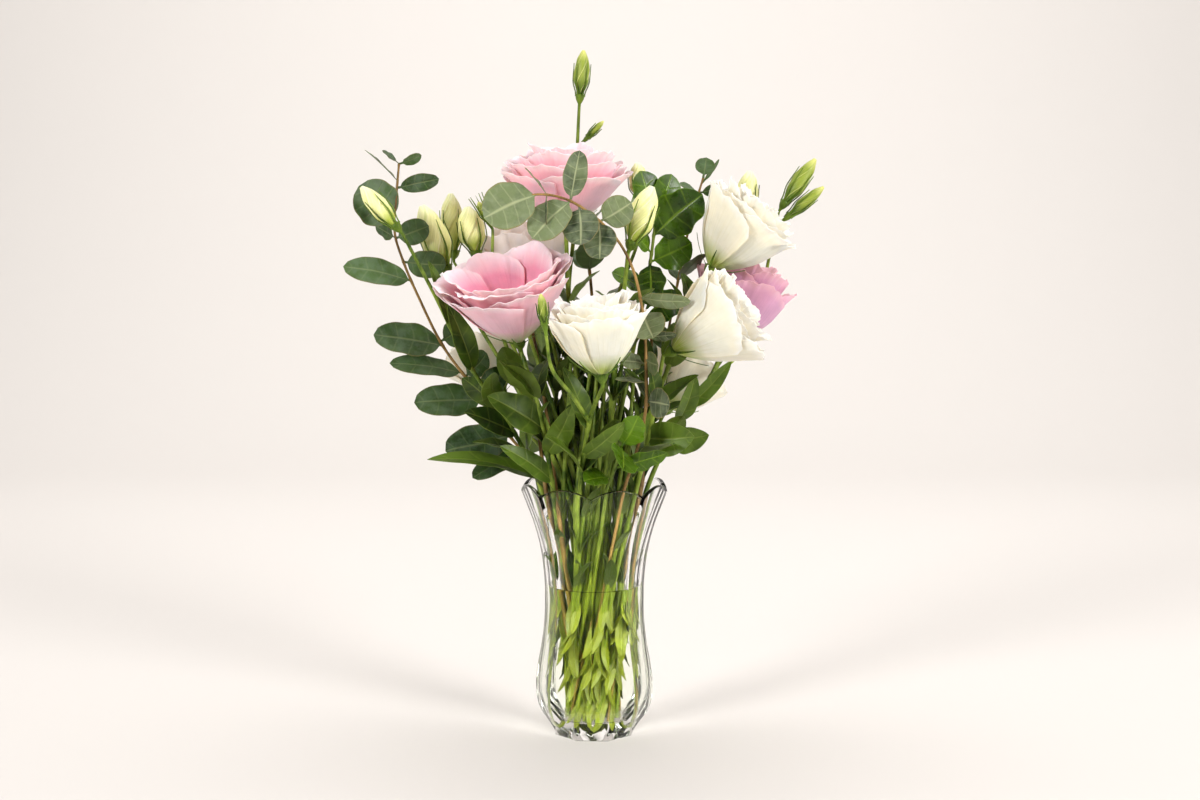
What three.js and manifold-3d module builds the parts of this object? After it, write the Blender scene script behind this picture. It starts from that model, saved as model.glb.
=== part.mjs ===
// Lisianthus in a fluted clear-glass vase of water: nine blooms and thirteen buds on leafy
// stems, among eucalyptus branches and broad-leaved greenery.
//
// Units are millimetres, +Z is up. The origin is the centre of the vase's foot, +X points to
// the right and -Y to the front. Azimuths are degrees round +Z from the front towards the right.
import * as THREE from "three";
import { mergeVertices } from "three/addons/utils/BufferGeometryUtils.js";
import Module from "manifold-3d";

const wasm = await Module();
wasm.setup();
const { Manifold, Mesh } = wasm;

// Vase
const VASE_HEIGHT = 175;
const FOOT_RADIUS = 26;
const FLUTES = 8;
const RIDGE_AZIMUTH = -2.5; // one ridge stands here, and the rim dips at its top
const RIM_DROP = 6; // how far the rim dips at a ridge from its peak mid flute
const FLUTE_COLUMNS = 4; // facets across a flute
const FLOOR = 14; // top of the thick glass base, inside
const BASE_CUT = [14, 3]; // the base's cut facets reach this high, below a ridge and mid flute
// Height and radius of the ridges outside, then height and depth of the flutes between them.
const OUTSIDE = [[0, 28], [3, 30], [9.5, 34.3], [21, 39.3], [34, 40.4], [49, 38.8], [60, 36.8],
  [72, 35.1], [85, 34.2], [100, 34.1], [112, 34.8], [125, 36.3], [138, 38.9], [150, 42.2],
  [162, 46.2], [175, 50.5]];
const FLUTE_DEPTH = [[0, 3], [34, 3.2], [85, 2.2], [175, 1.6]];
// Height and radius of the smooth wall inside, which is flat between them.
const INSIDE = [[14, 19], [24, 29.3], [38, 31.6], [58, 29.9], [80, 28.1], [104, 28.2], [122, 30.1],
  [140, 34.2], [158, 39.8], [175, 46]];

// Water
const WATER_LEVEL = 103;
const WATER_GAP = 0.45; // between the water's facets and the glass
const STEM_GAP = 0.4; // between a stem and its hole in the water

// Stems stand on the floor of the vase in an outer and an inner ring, which lean and turn
// opposite ways, and one in the middle: radius at the foot and at the rim, and turn between.
const STEM_FOOT = FLOOR + 0.4;
const RIM_PASS = 172;
const STRAIGHT_TO = 142; // below this height a stem is straight
const RINGS = {
  outer: { foot: 15.5, rim: 37, turn: 88 },
  inner: { foot: 7.5, rim: 19.5, turn: -100 },
  middle: { foot: 0, rim: 3, turn: 0 },
};
const SEPALS = 5;
const STEM_SIDES = SEPALS;
const STEM_STEP = 30; // length of a facet along a stem above the rim
const CALYX_LENGTH = 8;
const CALYX_RADIUS = 4.3;
const CALYX_GAP = 0.35; // between the calyx and the petals that stand in it
const CLEAR = 0.4; // least distance between a leaf and the other pieces
// Turns round the stem, and changes of pitch, that a leaf may take to hang clear of the rest.
const LEAF_TURNS = [[0, 0], [10, 0], [-10, 0], [0, 10], [0, -10], [20, 0], [-20, 0], [12, 12],
  [-12, 12], [12, -12], [-12, -12], [32, 0], [-32, 0], [0, 24], [0, -24], [24, 20], [-24, 20],
  [24, -20], [-24, -20], [45, 0], [-45, 0], [45, 20], [-45, 20], [60, 0], [-60, 0], [75, 10],
  [-75, 10], [90, 0], [-90, 0]];

// Leaf blades: where they are widest, how full they are, how far they arch and fold upwards,
// the length of their bare stalk and the depth of their teeth, as shares of length or width.
const LEAF_KINDS = {
  lisianthus: { skew: 0.78, full: 0.72, arch: 0.07, fold: 0.22, rows: 3, stalk: 0, teeth: 0 },
  eucalyptus: { skew: 0.95, full: 0.5, arch: 0.03, fold: 0.06, rows: 4, stalk: 3, teeth: 0 },
  broad: { skew: 0.9, full: 0.55, arch: 0.05, fold: 0.14, rows: 6, stalk: 4, teeth: 0.14 },
};
const SMALL_LEAF = 30; // a leaf shorter than this has one row of facets fewer
const LEAF_THICKNESS = 1.1;
const LEAF_LEAST_HALF_WIDTH = 0.8;
const PAIR_PITCH = 46;

// Blooms: the angle of a petal from the bloom's axis at its foot, middle and tip, and each
// layer of petals as its length, its share of that angle, its ruffle and its rows of facets.
const BLOOM_KINDS = {
  cup: { angles: [58, 25, 30], layers: [[60, 1, 2, 4], [56, 0.68, 1.8, 3], [50, 0.34, 1.4, 2]] },
  bowl: { angles: [60, 26, 36], layers: [[54, 1, 2.2, 4], [50, 0.68, 1.8, 3], [45, 0.34, 1.4, 2]] },
  open: { angles: [56, 33, 40], layers: [[68, 1, 2.6, 4], [64, 0.8, 2.2, 3], [56, 0.56, 1.6, 2]] },
  broad: { angles: [64, 40, 50], layers: [[62, 1, 2.4, 4], [57, 0.7, 2.2, 3], [50, 0.36, 1.6, 2]] },
  trumpet: { angles: [50, 27, 30], layers: [[64, 1, 2.4, 4], [59, 0.68, 1.8, 3], [52, 0.4, 1, 2]] },
  small: { angles: [60, 26, 32], layers: [[46, 1, 1.8, 3], [41, 0.56, 1.4, 2]] },
  plain: { angles: [68, 20, 28], layers: [[60, 1, 2, 3], [55, 0.56, 1.6, 2]] },
};
const PETALS = 5; // in each layer
const PETAL_COLUMNS = [-0.95, -0.33, 0.33, 0.95]; // across a petal, from one edge to the other
const PETAL_THICKNESS = 1.1;
const PETAL_LAP = 1.2; // how far a petal's edges lie outside and inside its middle
const PETAL_FOOT = [[3, 0], [2.6, 5], [1.8, 9]]; // radius and height of its foot, by layer
const PETAL_REACH = 0.88; // the length of the shortest petal, as a share of the longest
const SEPAL_HALF_WIDTH = 1.2;
const SEPAL_THICKNESS = 1.1;
const SEPAL_SPACE = 2.4; // from the middle of the petals or the bud's skin to a sepal's line

// Colours
const COLOURS = {
  glass: 0xe9efee, water: 0xdfe8d8, stem: 0x4f7a34, eucalyptus: 0x6f8a78, broad: 0x2f5f1c,
  pink: 0xf3a9c3, white: 0xf7f1e2, mauve: 0xc690c4, blush: 0xf4dcd2, cream: 0xe9dcc4,
  bud: 0xe6e38c, green_bud: 0x9db84a,
};

// Flowers stand at a base point, lean along a direction and are turned about it by spin.
const BLOOMS = {
  bloom_pink_back: {
    kind: "broad", colour: "pink",
    base: [-19, 6, 350], lean: [0, -0.1, 1], spin: 10,
  },
  bloom_pink_front: {
    kind: "open", colour: "pink",
    base: [-50, -26, 273], lean: [-0.17, -0.34, 0.92], spin: 30,
  },
  bloom_white_front: {
    kind: "bowl", colour: "white",
    base: [5, -89, 256], lean: [-0.1, -0.08, 1], spin: 0,
  },
  bloom_white_high: {
    kind: "cup", colour: "white",
    base: [79, -12, 322], lean: [0.6, -0.1, 0.8], spin: 20,
  },
  bloom_white_right: {
    kind: "trumpet", colour: "white",
    base: [52, -52, 269], lean: [0.84, -0.12, 0.52], spin: 50,
  },
  bloom_mauve: {
    kind: "plain", colour: "mauve", sepal: 15,
    base: [92, 22, 273], lean: [0.32, -0.04, 0.95], spin: 15,
  },
  bloom_blush: {
    kind: "plain", colour: "blush",
    base: [-46, 48, 298], lean: [-0.12, 0.12, 0.98], spin: 40,
  },
  bloom_cream_right: {
    kind: "small", colour: "cream",
    base: [52, 38, 222], lean: [0.5, 0.42, 0.76], spin: 5,
  },
  bloom_cream_left: {
    kind: "small", colour: "cream",
    base: [-66, 40, 234], lean: [-0.5, 0.42, 0.76], spin: 25,
  },
};
const BUDS = {
  bud_top: {
    length: 31, radius: 5.6, colour: "green_bud",
    base: [-10, 56, 441], lean: [0.08, 0, 1],
  },
  bud_top_side: {
    length: 15, radius: 2.4, colour: "green_bud",
    base: [-4, 53, 412], lean: [0.7, -0.1, 0.7],
  },
  bud_far_left: {
    length: 33, radius: 6.6, colour: "bud",
    base: [-132, -26, 350], lean: [-0.66, 0, 0.75],
  },
  bud_cream_front: {
    length: 44, radius: 10.3, colour: "bud",
    base: [-102, 14, 322], lean: [-0.36, 0, 0.93],
  },
  bud_cream_right: {
    length: 31, radius: 9.6, colour: "bud",
    base: [-82, 24, 332], lean: [-0.18, 0, 0.98],
  },
  bud_cream_back: {
    length: 40, radius: 8.5, colour: "bud",
    base: [-99, 45, 332], lean: [-0.04, 0, 1],
  },
  bud_small_left: {
    length: 13, radius: 3.4, colour: "green_bud", awn: 19,
    base: [-73, 11, 354], lean: [-0.46, 0, 0.89],
  },
  bud_mid_right: {
    length: 38, radius: 9.2, colour: "bud",
    base: [25, -46, 339], lean: [0.34, 0, 0.94],
  },
  bud_right_high: {
    length: 36, radius: 5.8, colour: "green_bud",
    base: [133, 36, 366], lean: [0.57, 0, 0.82],
  },
  bud_right_low: {
    length: 30, radius: 4.2, colour: "green_bud",
    base: [136, 33, 357], lean: [0.76, -0.1, 0.64],
  },
  bud_behind_pink: {
    length: 24, radius: 7, colour: "bud",
    base: [32, 34, 369], lean: [-0.1, 0, 1],
  },
  bud_behind_white: {
    length: 30, radius: 8, colour: "bud",
    base: [107, 60, 358], lean: [0.1, 0, 1],
  },
  bud_between: {
    length: 18, radius: 3.2, colour: "green_bud",
    base: [-30, -121, 290], lean: [-0.12, -0.1, 0.98],
  },
};

// Every stem: its ring and azimuth at the rim, the points that it passes above the rim, and
// the flower at its end. Places along a stem are counted in those points, with the rim at 0
// and the flower last. A branch starts at such a place. A leaf is [place, tip, width, roll],
// where a roll of 0 faces the front, and a pair is [place, azimuth, length, width].
const STEMS = [
  {
    name: "stem_pink_front", radius: 2.1, ring: "outer", rim: -48, end: "bloom_pink_front",
    up: [[-36, -34, 225]],
    leaves: [
      [0.8, [-70, -46, 238], 24, 20], [0.15, [-62, -46, 205], 15, 20], [1.3, [-62, -52, 262], 15, 40],
      [0.5, [-14, -50, 232], 17, 20],
    ],
    pairs: [[0.6, 80, 42, 18], [1.2, 150, 40, 18]],
  },
  {
    name: "stem_white_front", radius: 2, ring: "outer", rim: -15, end: "bloom_white_front",
    up: [[-3, -56, 222]],
    branches: [{ at: 1, via: [[-14, -92, 243], [-26, -114, 262]], end: "bud_between" }],
    leaves: [[0.9, [-20, -62, 258], 14, 25], [0.5, [20, -56, 222], 14, 30]],
    pairs: [[0.3, 95, 40, 17]],
  },
  {
    name: "stem_white_right", radius: 2, ring: "outer", rim: 50, end: "bloom_white_right",
    up: [[38, -36, 218]],
    leaves: [[0.8, [66, -46, 211], 24, 20], [1.3, [34, -56, 262], 13, 30]],
    pairs: [[0.4, 10, 42, 20], [1.2, 110, 38, 16]],
  },
  {
    name: "stem_far_left", radius: 1.8, ring: "outer", rim: -82, end: "bud_far_left",
    up: [[-56, -16, 214], [-84, -24, 258], [-104, -27, 300]],
    leaves: [
      [1.9, [-96, -38, 297], 17, 30], [0.15, [-112, -24, 193], 18, 50], [0.9, [-86, -34, 226], 20, 30],
      [2.6, [-98, -40, 326], 9, 40],
    ],
    pairs: [[0.5, 100, 42, 18], [1.3, 30, 40, 17]],
  },
  {
    name: "stem_cream_buds", radius: 1.9, ring: "inner", rim: -95, end: "bud_cream_right",
    up: [[-44, 8, 222], [-64, 17, 276]],
    branches: [
      { at: 2, via: [[-84, 14, 296]], end: "bud_cream_front" },
      { at: 2, via: [[-84, 35, 302]], end: "bud_cream_back" },
    ],
    leaves: [],
    pairs: [[0.5, 90, 42, 18], [1.3, 0, 40, 18]],
  },
  {
    name: "stem_white_high", radius: 2, ring: "inner", rim: 80, end: "bloom_white_high",
    up: [[42, -6, 232], [62, -12, 285]],
    leaves: [[2.3, [58, -26, 318], 12, 30]],
    pairs: [[0.6, 90, 42, 18], [1.4, 10, 40, 18], [2, 100, 34, 15]],
  },
  {
    name: "stem_mauve", radius: 2, ring: "outer", rim: 82, end: "bloom_mauve",
    up: [[58, 4, 216], [80, 11, 246]],
    branches: [
      { at: 2, via: [[104, 47, 262], [119, 60, 302], [125, 52, 335]], end: "bud_right_high" },
      { at: 2, via: [[96, 50, 268], [102, 62, 312]], end: "bud_behind_white" },
    ],
    twigs: [{ on: 0, at: 3, via: [[130, 42, 346]], end: "bud_right_low" }],
    leaves: [[1.3, [93, -8, 258], 12, 20], [1, [68, -18, 250], 14, 30], [0.7, [78, -10, 208], 20, 30]],
    pairs: [[0.5, 0, 38, 16]],
  },
  {
    name: "stem_pink_back", radius: 2.2, ring: "middle", rim: -60, end: "bloom_pink_back",
    up: [[-12, 8, 250], [-18, 8, 310]],
    branches: [{ at: 1.2, via: [[-18, 44, 302], [-14, 58, 350], [-12, 58, 405]], end: "bud_top" }],
    twigs: [{ on: 0, at: 3, via: [], end: "bud_top_side" }],
    leaves: [],
    pairs: [[0.4, 70, 42, 18], [1.1, 160, 40, 18], [1.7, 70, 34, 16]],
  },
  {
    name: "stem_blush", radius: 2, ring: "inner", rim: -155, end: "bloom_blush",
    up: [[-28, 36, 232], [-41, 45, 268]],
    branches: [{ at: 1.6, via: [[-50, 30, 286], [-68, 8, 318]], end: "bud_small_left" }],
    leaves: [[1.5, [-40, 82, 282], 22, 180]],
    pairs: [[0.4, 140, 42, 18], [1.2, 40, 40, 18]],
  },
  {
    name: "stem_mid_bud", radius: 2, ring: "inner", rim: 20, end: "bud_mid_right",
    up: [[12, -20, 232], [18, -33, 288]],
    branches: [{ at: 1.6, via: [[16, 2, 300], [30, 30, 338]], end: "bud_behind_pink" }],
    leaves: [[1.8, [-14, -46, 300], 16, 40]],
    pairs: [[0.3, 10, 42, 18], [1, 100, 40, 18], [1.5, 20, 34, 17], [2, 110, 30, 14]],
  },
  {
    name: "stem_cream_right", radius: 1.9, ring: "outer", rim: 147, end: "bloom_cream_right",
    up: [[38, 34, 196]],
    leaves: [[0.6, [46, 76, 206], 22, 180]],
    pairs: [],
  },
  {
    name: "stem_cream_left", radius: 1.9, ring: "outer", rim: -148, end: "bloom_cream_left",
    up: [[-48, 38, 206]],
    leaves: [[0.6, [-52, 78, 214], 22, 180]],
    pairs: [],
  },
  {
    name: "eucalyptus_left", radius: 1.15, ring: "outer", rim: -114, kind: "eucalyptus",
    up: [
      [-58, 8, 205], [-84, 3, 241], [-103, 0, 268], [-118, -2, 299], [-129, -2, 325], [-135, 0, 345],
      [-134, 3, 368], [-132, 4, 391],
    ],
    leaves: [
      [8, [-143, 2, 400], 9, 60], [8, [-117, 6, 397], 9, 60], [7.5, [-154, -4, 400], 13, 80],
      [7.3, [-105, 4, 381], 13, 40], [6.3, [-158, -6, 376], 34, 15], [5.8, [-147, -8, 349], 16, 40],
      [5.8, [-113, 8, 348], 18, 30], [5, [-103, 12, 322], 20, 30], [4.5, [-169, -8, 322], 20, 15],
      [3, [-149, -9, 276], 26, 20], [3.1, [-88, 9, 281], 20, 35], [2.3, [-138, -12, 257], 18, 30],
      [2.2, [-74, 14, 262], 18, 40], [1.7, [-122, -9, 230], 25, 15], [1.8, [-62, 14, 250], 20, 40],
      [1, [-101, -10, 197], 29, 15], [0.7, [-83, -6, 178], 17, 20],
    ],
  },
  {
    name: "eucalyptus_arch", radius: 1.15, ring: "outer", rim: 32, kind: "eucalyptus",
    up: [
      [29, -43, 204], [34, -49, 230], [34, -55, 255], [33, -58, 280], [30, -60, 303], [25, -61, 322],
      [16, -62, 339], [4, -63, 352], [-15, -64, 365], [-30, -63, 369], [-43, -62, 368], [-56, -60, 360],
    ],
    leaves: [
      [5, [65, -64, 303], 12, 45], [4.6, [38, -76, 278], 24, 10], [3.9, [54, -60, 280], 10, 65],
      [3.9, [18, -56, 276], 9, 65], [3.3, [50, -62, 262], 16, 30], [3.2, [18, -58, 262], 15, 30],
      [2.7, [14, -58, 250], 10, 60], [2.2, [54, -54, 236], 20, 20], [10.5, [-70, -68, 354], 34, 10],
      [12, [-72, -62, 359], 8, 50], [10, [-44, -68, 386], 10, 75], [10, [-30, -72, 350], 10, 75],
      [9, [-9, -66, 397], 16, 20], [9, [-39, -74, 341], 26, 15], [8.7, [-8, -76, 337], 24, 10],
      [8, [4, -74, 328], 22, 15], [8, [24, -66, 364], 22, 30],
    ],
  },
  {
    name: "eucalyptus_right", radius: 1.1, ring: "outer", rim: 114, kind: "eucalyptus",
    up: [[44, 26, 235], [56, 28, 300], [66, 26, 350], [72, 24, 372], [75, 24, 382]],
    leaves: [
      [5, [77, 21, 396], 14, 0], [4, [58, 20, 378], 10, 50], [4, [91, 26, 376], 10, 50],
      [4.6, [86, 26, 395], 4, 60],
    ],
    pairs: [[1.4, 150, 30, 20], [2.2, 60, 28, 20]],
  },
  {
    name: "eucalyptus_back", radius: 1.5, ring: "outer", rim: 180, kind: "eucalyptus",
    up: [[2, 56, 215], [0, 74, 258], [-2, 86, 300], [-6, 90, 340], [-8, 88, 372]],
    leaves: [[4.9, [-9, 88, 390], 13, 0]],
    pairs: [
      [1, 90, 32, 24], [1.8, 10, 34, 26], [2.6, 90, 34, 26], [3.4, 10, 30, 22], [4.2, 90, 24, 18],
    ],
  },
  {
    name: "greenery_mid", radius: 1.5, ring: "inner", rim: 140, kind: "broad",
    up: [[20, 6, 235], [32, 2, 290], [38, -4, 325], [41, -8, 350]],
    leaves: [
      [4, [31, -10, 386], 26, 20], [4, [52, -4, 384], 24, 25], [3.7, [73, -14, 371], 32, 15],
      [3, [66, -2, 338], 26, 25], [3.2, [20, -14, 350], 20, 40], [3, [38, -20, 296], 22, 15],
      [2, [60, 10, 300], 24, 30], [1.4, [6, -8, 262], 22, 40], [2.4, [12, -4, 318], 22, 40],
    ],
  },
  {
    name: "greenery_low", radius: 1.5, ring: "outer", rim: 12, kind: "broad",
    up: [[14, -43, 190], [18, -46, 204]],
    leaves: [
      [2, [-3, -60, 200], 26, 15], [1, [48, -52, 201], 14, 35], [0.6, [-8, -48, 184], 20, 45],
      [2, [30, -56, 226], 20, 20],
    ],
  },
];

const rad = THREE.MathUtils.degToRad;
const UP = new THREE.Vector3(0, 0, 1);
const { clamp, lerp } = THREE.MathUtils;

// A direction in the horizontal plane, from its azimuth.
function heading(azimuth) {
  return new THREE.Vector3(Math.sin(rad(azimuth)), -Math.cos(rad(azimuth)), 0);
}

// The value at x of the smooth curve through a list of [x, value].
function through(list, x) {
  let i = 1;
  while (i < list.length - 1 && list[i][0] < x) i++;
  const [x1, y1] = list[i - 1];
  const [x2, y2] = list[i];
  const slope = (j) => {
    const a = list[Math.max(j - 1, 0)];
    const b = list[Math.min(j + 1, list.length - 1)];
    return (b[1] - a[1]) / (b[0] - a[0]);
  };
  const t = clamp((x - x1) / (x2 - x1), 0, 1);
  const t2 = t * t;
  const t3 = t2 * t;
  return (2 * t3 - 3 * t2 + 1) * y1 + (t3 - 2 * t2 + t) * (x2 - x1) * slope(i - 1)
    + (3 * t2 - 2 * t3) * y2 + (t3 - t2) * (x2 - x1) * slope(i);
}

// A fixed value between 0 and 1 for a pair of numbers, for the small differences between petals.
function chance(i, j) {
  const s = Math.sin(i * 12.9898 + j * 78.233) * 43758.5453;
  return s - Math.floor(s);
}

// A solid from a closed surface: a list of points and a list of triangles.
function solid(points, triangles) {
  const geometry = new THREE.BufferGeometry();
  const places = points.flatMap((p) => [p.x, p.y, p.z]);
  geometry.setAttribute("position", new THREE.Float32BufferAttribute(places, 3));
  geometry.setIndex(triangles);
  const merged = mergeVertices(geometry, 1e-4);
  return new Manifold(new Mesh({
    numProp: 3,
    vertProperties: merged.attributes.position.array,
    triVerts: new Uint32Array(merged.index.array),
  }));
}

// Joins solids into one.
function joined(pieces) {
  return pieces.reduce((whole, piece) => whole.add(piece));
}

// The triangles between rings of points, each ring with as many points as the next, whose
// points follow one another in one list. A band that is listed as falling is split along its
// other diagonal, so that the two faces of a wall that rises and falls are split alike.
function band(count, sides, falling = []) {
  const ring = (i, k) => i * sides + (k % sides);
  const triangles = [];
  for (let i = 0; i < count - 1; i++) {
    for (let k = 0; k < sides; k++) {
      const [a, b, c, d] = [ring(i, k), ring(i, k + 1), ring(i + 1, k + 1), ring(i + 1, k)];
      triangles.push(...(falling[i] ? [a, b, d, b, c, d] : [a, b, c, a, c, d]));
    }
  }
  return triangles;
}

// A solid from rings of points, closed by a point at either end.
function ringed(rings, first, last, falling = []) {
  const sides = rings[0].length;
  const points = [...rings.flat(), first, last];
  const triangles = band(rings.length, sides, falling);
  const top = (rings.length - 1) * sides;
  for (let k = 0; k < sides; k++) {
    const next = (k + 1) % sides;
    triangles.push(points.length - 2, next, k, points.length - 1, top + k, top + next);
  }
  return solid(points, triangles);
}

// A closed blade over a grid of at(u, v), u from foot to tip and v across from -1 to 1. Its two
// faces share the edge, stand a thickness apart inside it, and are split into triangles alike.
function blade(rows, columns, thickness, at) {
  const points = [];
  const grid = [];
  const step = 1e-3;
  for (let i = 0; i <= rows; i++) {
    grid.push([]);
    for (let j = 0; j <= columns; j++) {
      const u = i / rows;
      const v = (2 * j) / columns - 1;
      const here = at(u, v);
      if (i === 0 || i === rows || j === 0 || j === columns) {
        points.push(here);
        grid[i].push([points.length - 1, points.length - 1]);
        continue;
      }
      const along = at(u + step, v).sub(here);
      const across = at(u, v + step).sub(here);
      const normal = across.cross(along).normalize().multiplyScalar(thickness / 2);
      points.push(here.clone().add(normal), here.clone().sub(normal));
      grid[i].push([points.length - 2, points.length - 1]);
    }
  }
  const triangles = [];
  for (let i = 0; i < rows; i++) {
    for (let j = 0; j < columns; j++) {
      for (const side of [0, 1]) {
        const corners = [grid[i][j], grid[i][j + 1], grid[i + 1][j + 1], grid[i + 1][j]];
        const [a, b, c, d] = corners.map((k) => k[side]);
        const halves = 2 * j < columns ? [[a, b, c], [a, c, d]] : [[a, b, d], [b, c, d]];
        for (const [p, q, r] of halves) triangles.push(...(side ? [p, r, q] : [p, q, r]));
      }
    }
  }
  return solid(points, triangles);
}

// The rings of a tube along a curve at some places on it, each across the curve. The first is
// level if it is asked for, as a stem's cut foot is.
function tubeRings(curve, places, sides, radiusAt, level) {
  let across = heading(90);
  return places.map((t, i) => {
    const centre = curve.getPoint(t);
    const along = curve.getTangent(t);
    const side = along.clone().cross(across).normalize();
    across = side.clone().cross(along).normalize();
    return Array.from({ length: sides }, (_, k) => {
      const angle = (2 * Math.PI * k) / sides;
      const point = centre.clone()
        .addScaledVector(across, radiusAt(t) * Math.cos(angle))
        .addScaledVector(side, radiusAt(t) * Math.sin(angle));
      if (i > 0 || !level) return point;
      return point.addScaledVector(along, (centre.z - point.z) / along.z);
    });
  });
}

// A smooth curve through points given as triples or vectors.
function route(points) {
  return new THREE.CatmullRomCurve3(points.map((p) => (p.isVector3 ? p : new THREE.Vector3(...p))));
}

// A turned solid from its profile of [radius, height], which starts and ends on the axis.
function turned(profile, sides) {
  const rings = profile.slice(1, -1).map(([r, z]) => Array.from({ length: sides }, (_, k) => {
    return heading(RIDGE_AZIMUTH + (360 * k) / sides).multiplyScalar(r).setZ(z);
  }));
  const onAxis = ([, z]) => new THREE.Vector3(0, 0, z);
  return ringed(rings, onAxis(profile[0]), onAxis(profile.at(-1)));
}

// The matrix that takes +Z at the origin to where a flower stands.
function standing({ base, lean }) {
  const turn = new THREE.Quaternion().setFromUnitVectors(UP, new THREE.Vector3(...lean).normalize());
  return new THREE.Matrix4().compose(new THREE.Vector3(...base), turn, new THREE.Vector3(1, 1, 1));
}

// Rings of points made about +Z, moved to where their flower stands.
function stood(flower, rings) {
  const matrix = standing(flower);
  return rings.map((ring) => ring.map((point) => point.applyMatrix4(matrix)));
}

// Offset across a flute, from -1 at one ridge through 0 mid flute to 1 at the next ridge.
function acrossFlute(azimuth) {
  const turns = ((azimuth - RIDGE_AZIMUTH) * FLUTES) / 360;
  return 2 * (turns - Math.floor(turns)) - 1;
}

// The height that the base's cut facets reach at an offset across a flute.
function cutHeight(s) {
  return lerp(BASE_CUT[1], BASE_CUT[0], Math.abs(s));
}

// The vase's outside radius at a height above the cut facets and an offset across a flute.
function outsideRadius(z, s) {
  return through(OUTSIDE, z) - through(FLUTE_DEPTH, z) * (1 - s * s);
}

// The vase: foot, cut base, flutes, scalloped rim, then down the inside to the floor.
function vase() {
  const columns = FLUTES * FLUTE_COLUMNS;
  const azimuths = Array.from({ length: columns }, (_, k) => RIDGE_AZIMUTH + (360 * k) / columns);
  const scallop = (z, s) => z - RIM_DROP * s * s * (z / VASE_HEIGHT) ** 6;
  const top = VASE_HEIGHT - 1.2;
  const lip = (OUTSIDE.at(-1)[1] + INSIDE.at(-1)[1]) / 2;
  const rows = [
    () => [FOOT_RADIUS, 0],
    (s) => [outsideRadius(cutHeight(s), s), cutHeight(s)],
    ...[20, 30, 42, 58, 76, 96, 116, 135, 152, top].map((z) => (s) => [outsideRadius(z, s), scallop(z, s)]),
    (s) => [lip, scallop(VASE_HEIGHT, s)],
    (s) => [INSIDE.at(-1)[1], scallop(top, s)],
    ...INSIDE.slice(0, -1).reverse().map(([z, r]) => (s) => [r, z > WATER_LEVEL + 20 ? scallop(z, s) : z]),
  ];
  const rings = rows.map((row) => azimuths.map((azimuth) => {
    const [r, z] = row(acrossFlute(azimuth + 1e-7));
    return heading(azimuth).multiplyScalar(r).setZ(z);
  }));
  return ringed(rings, new THREE.Vector3(0, 0, 0), new THREE.Vector3(0, 0, FLOOR));
}

// The water without its holes: a turned body a little inside the glass.
function waterBody() {
  const bottom = FLOOR + WATER_GAP;
  const under = INSIDE.findIndex(([z]) => z > WATER_LEVEL);
  const [[z1, r1], [z2, r2]] = INSIDE.slice(under - 1, under + 1);
  const level = [WATER_LEVEL, lerp(r1, r2, (WATER_LEVEL - z1) / (z2 - z1))];
  const wall = [...INSIDE.slice(1, under), level].map(([z, r]) => [r - WATER_GAP, z]);
  return turned([[0, bottom], [INSIDE[0][1] - WATER_GAP, bottom], ...wall, [0, WATER_LEVEL]], FLUTES * 2);
}

// Where a petal runs: its distance from the bloom's axis and its height, by share of its length.
function petalProfile(angles, length, share, [footRadius, footHeight]) {
  const steps = 24;
  const list = [[footRadius, footHeight]];
  for (let i = 0; i < steps; i++) {
    const bend = [[0, angles[0]], [0.55, angles[1]], [1, angles[2]]];
    const angle = rad(share * through(bend, (i + 0.5) / steps));
    const [r, z] = list[i];
    list.push([r + (Math.sin(angle) * length) / steps, z + (Math.cos(angle) * length) / steps]);
  }
  return (u) => {
    const place = clamp(u, 0, 1) * steps;
    const i = Math.min(Math.floor(place), steps - 1);
    return [0, 1].map((k) => lerp(list[i][k], list[i + 1][k], place - i));
  };
}

// A bloom: one closed surface that runs up and down each layer of petals in turn, from the
// outermost to the heart. A petal's one edge lies over and its other edge under its
// neighbours' edges, and the petals of a layer stand in front of the gaps of the next.
function bloom(flower, number) {
  const { angles, layers } = BLOOM_KINDS[flower.kind];
  const rings = [];
  const falling = [];
  layers.forEach(([length, share, ruffle, rows], layer) => {
    const profile = petalProfile(angles, length, share, PETAL_FOOT[layer]);
    const ring = (u, side) => Array.from({ length: PETALS }, (_, i) => PETAL_COLUMNS.map((v) => {
      const reach = 1 - (1 - PETAL_REACH) * chance(number, i + 5 * layer);
      const along = u * reach * (1 - 0.07 * v * v * u);
      const [r, z] = profile(along);
      const [r2, z2] = profile(along + 0.01);
      const slope = Math.atan2(r2 - r, z2 - z);
      const azimuth = flower.spin + 36 * layer + (360 / PETALS) * (i + v / 2);
      const wave = ruffle * along ** 3;
      const beat = Math.sin(6 * rad(azimuth) + 2 * number + layer);
      const skin = (side * PETAL_THICKNESS) / 2;
      const out = r + PETAL_LAP * v * Math.min(1, 1.6 * u) + wave * beat + skin * Math.cos(slope);
      const height = z + 0.5 * wave * beat - skin * Math.sin(slope);
      return heading(azimuth).multiplyScalar(out).setZ(height);
    })).flat();
    const first = (PETALS - layer / 2) * PETAL_COLUMNS.length;
    const ordered = (points) => [...points.slice(first), ...points.slice(0, first)];
    for (let i = layer ? 1 : 0; i < rows; i++) rings.push(ordered(ring(i / rows, i ? 1 : 0)));
    rings.push(ordered(ring(1, 0)));
    for (let i = rows - 1; i > 0; i--) {
      falling[rings.length - 1] = true;
      rings.push(ordered(ring(i / rows, -1)));
    }
  });
  const heart = PETAL_FOOT[layers.length - 1][1] + 4;
  const axis = [new THREE.Vector3(), new THREE.Vector3(0, 0, heart)];
  const [ends, ...placed] = stood(flower, [axis, ...rings]);
  return ringed(placed, ...ends, falling);
}

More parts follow.
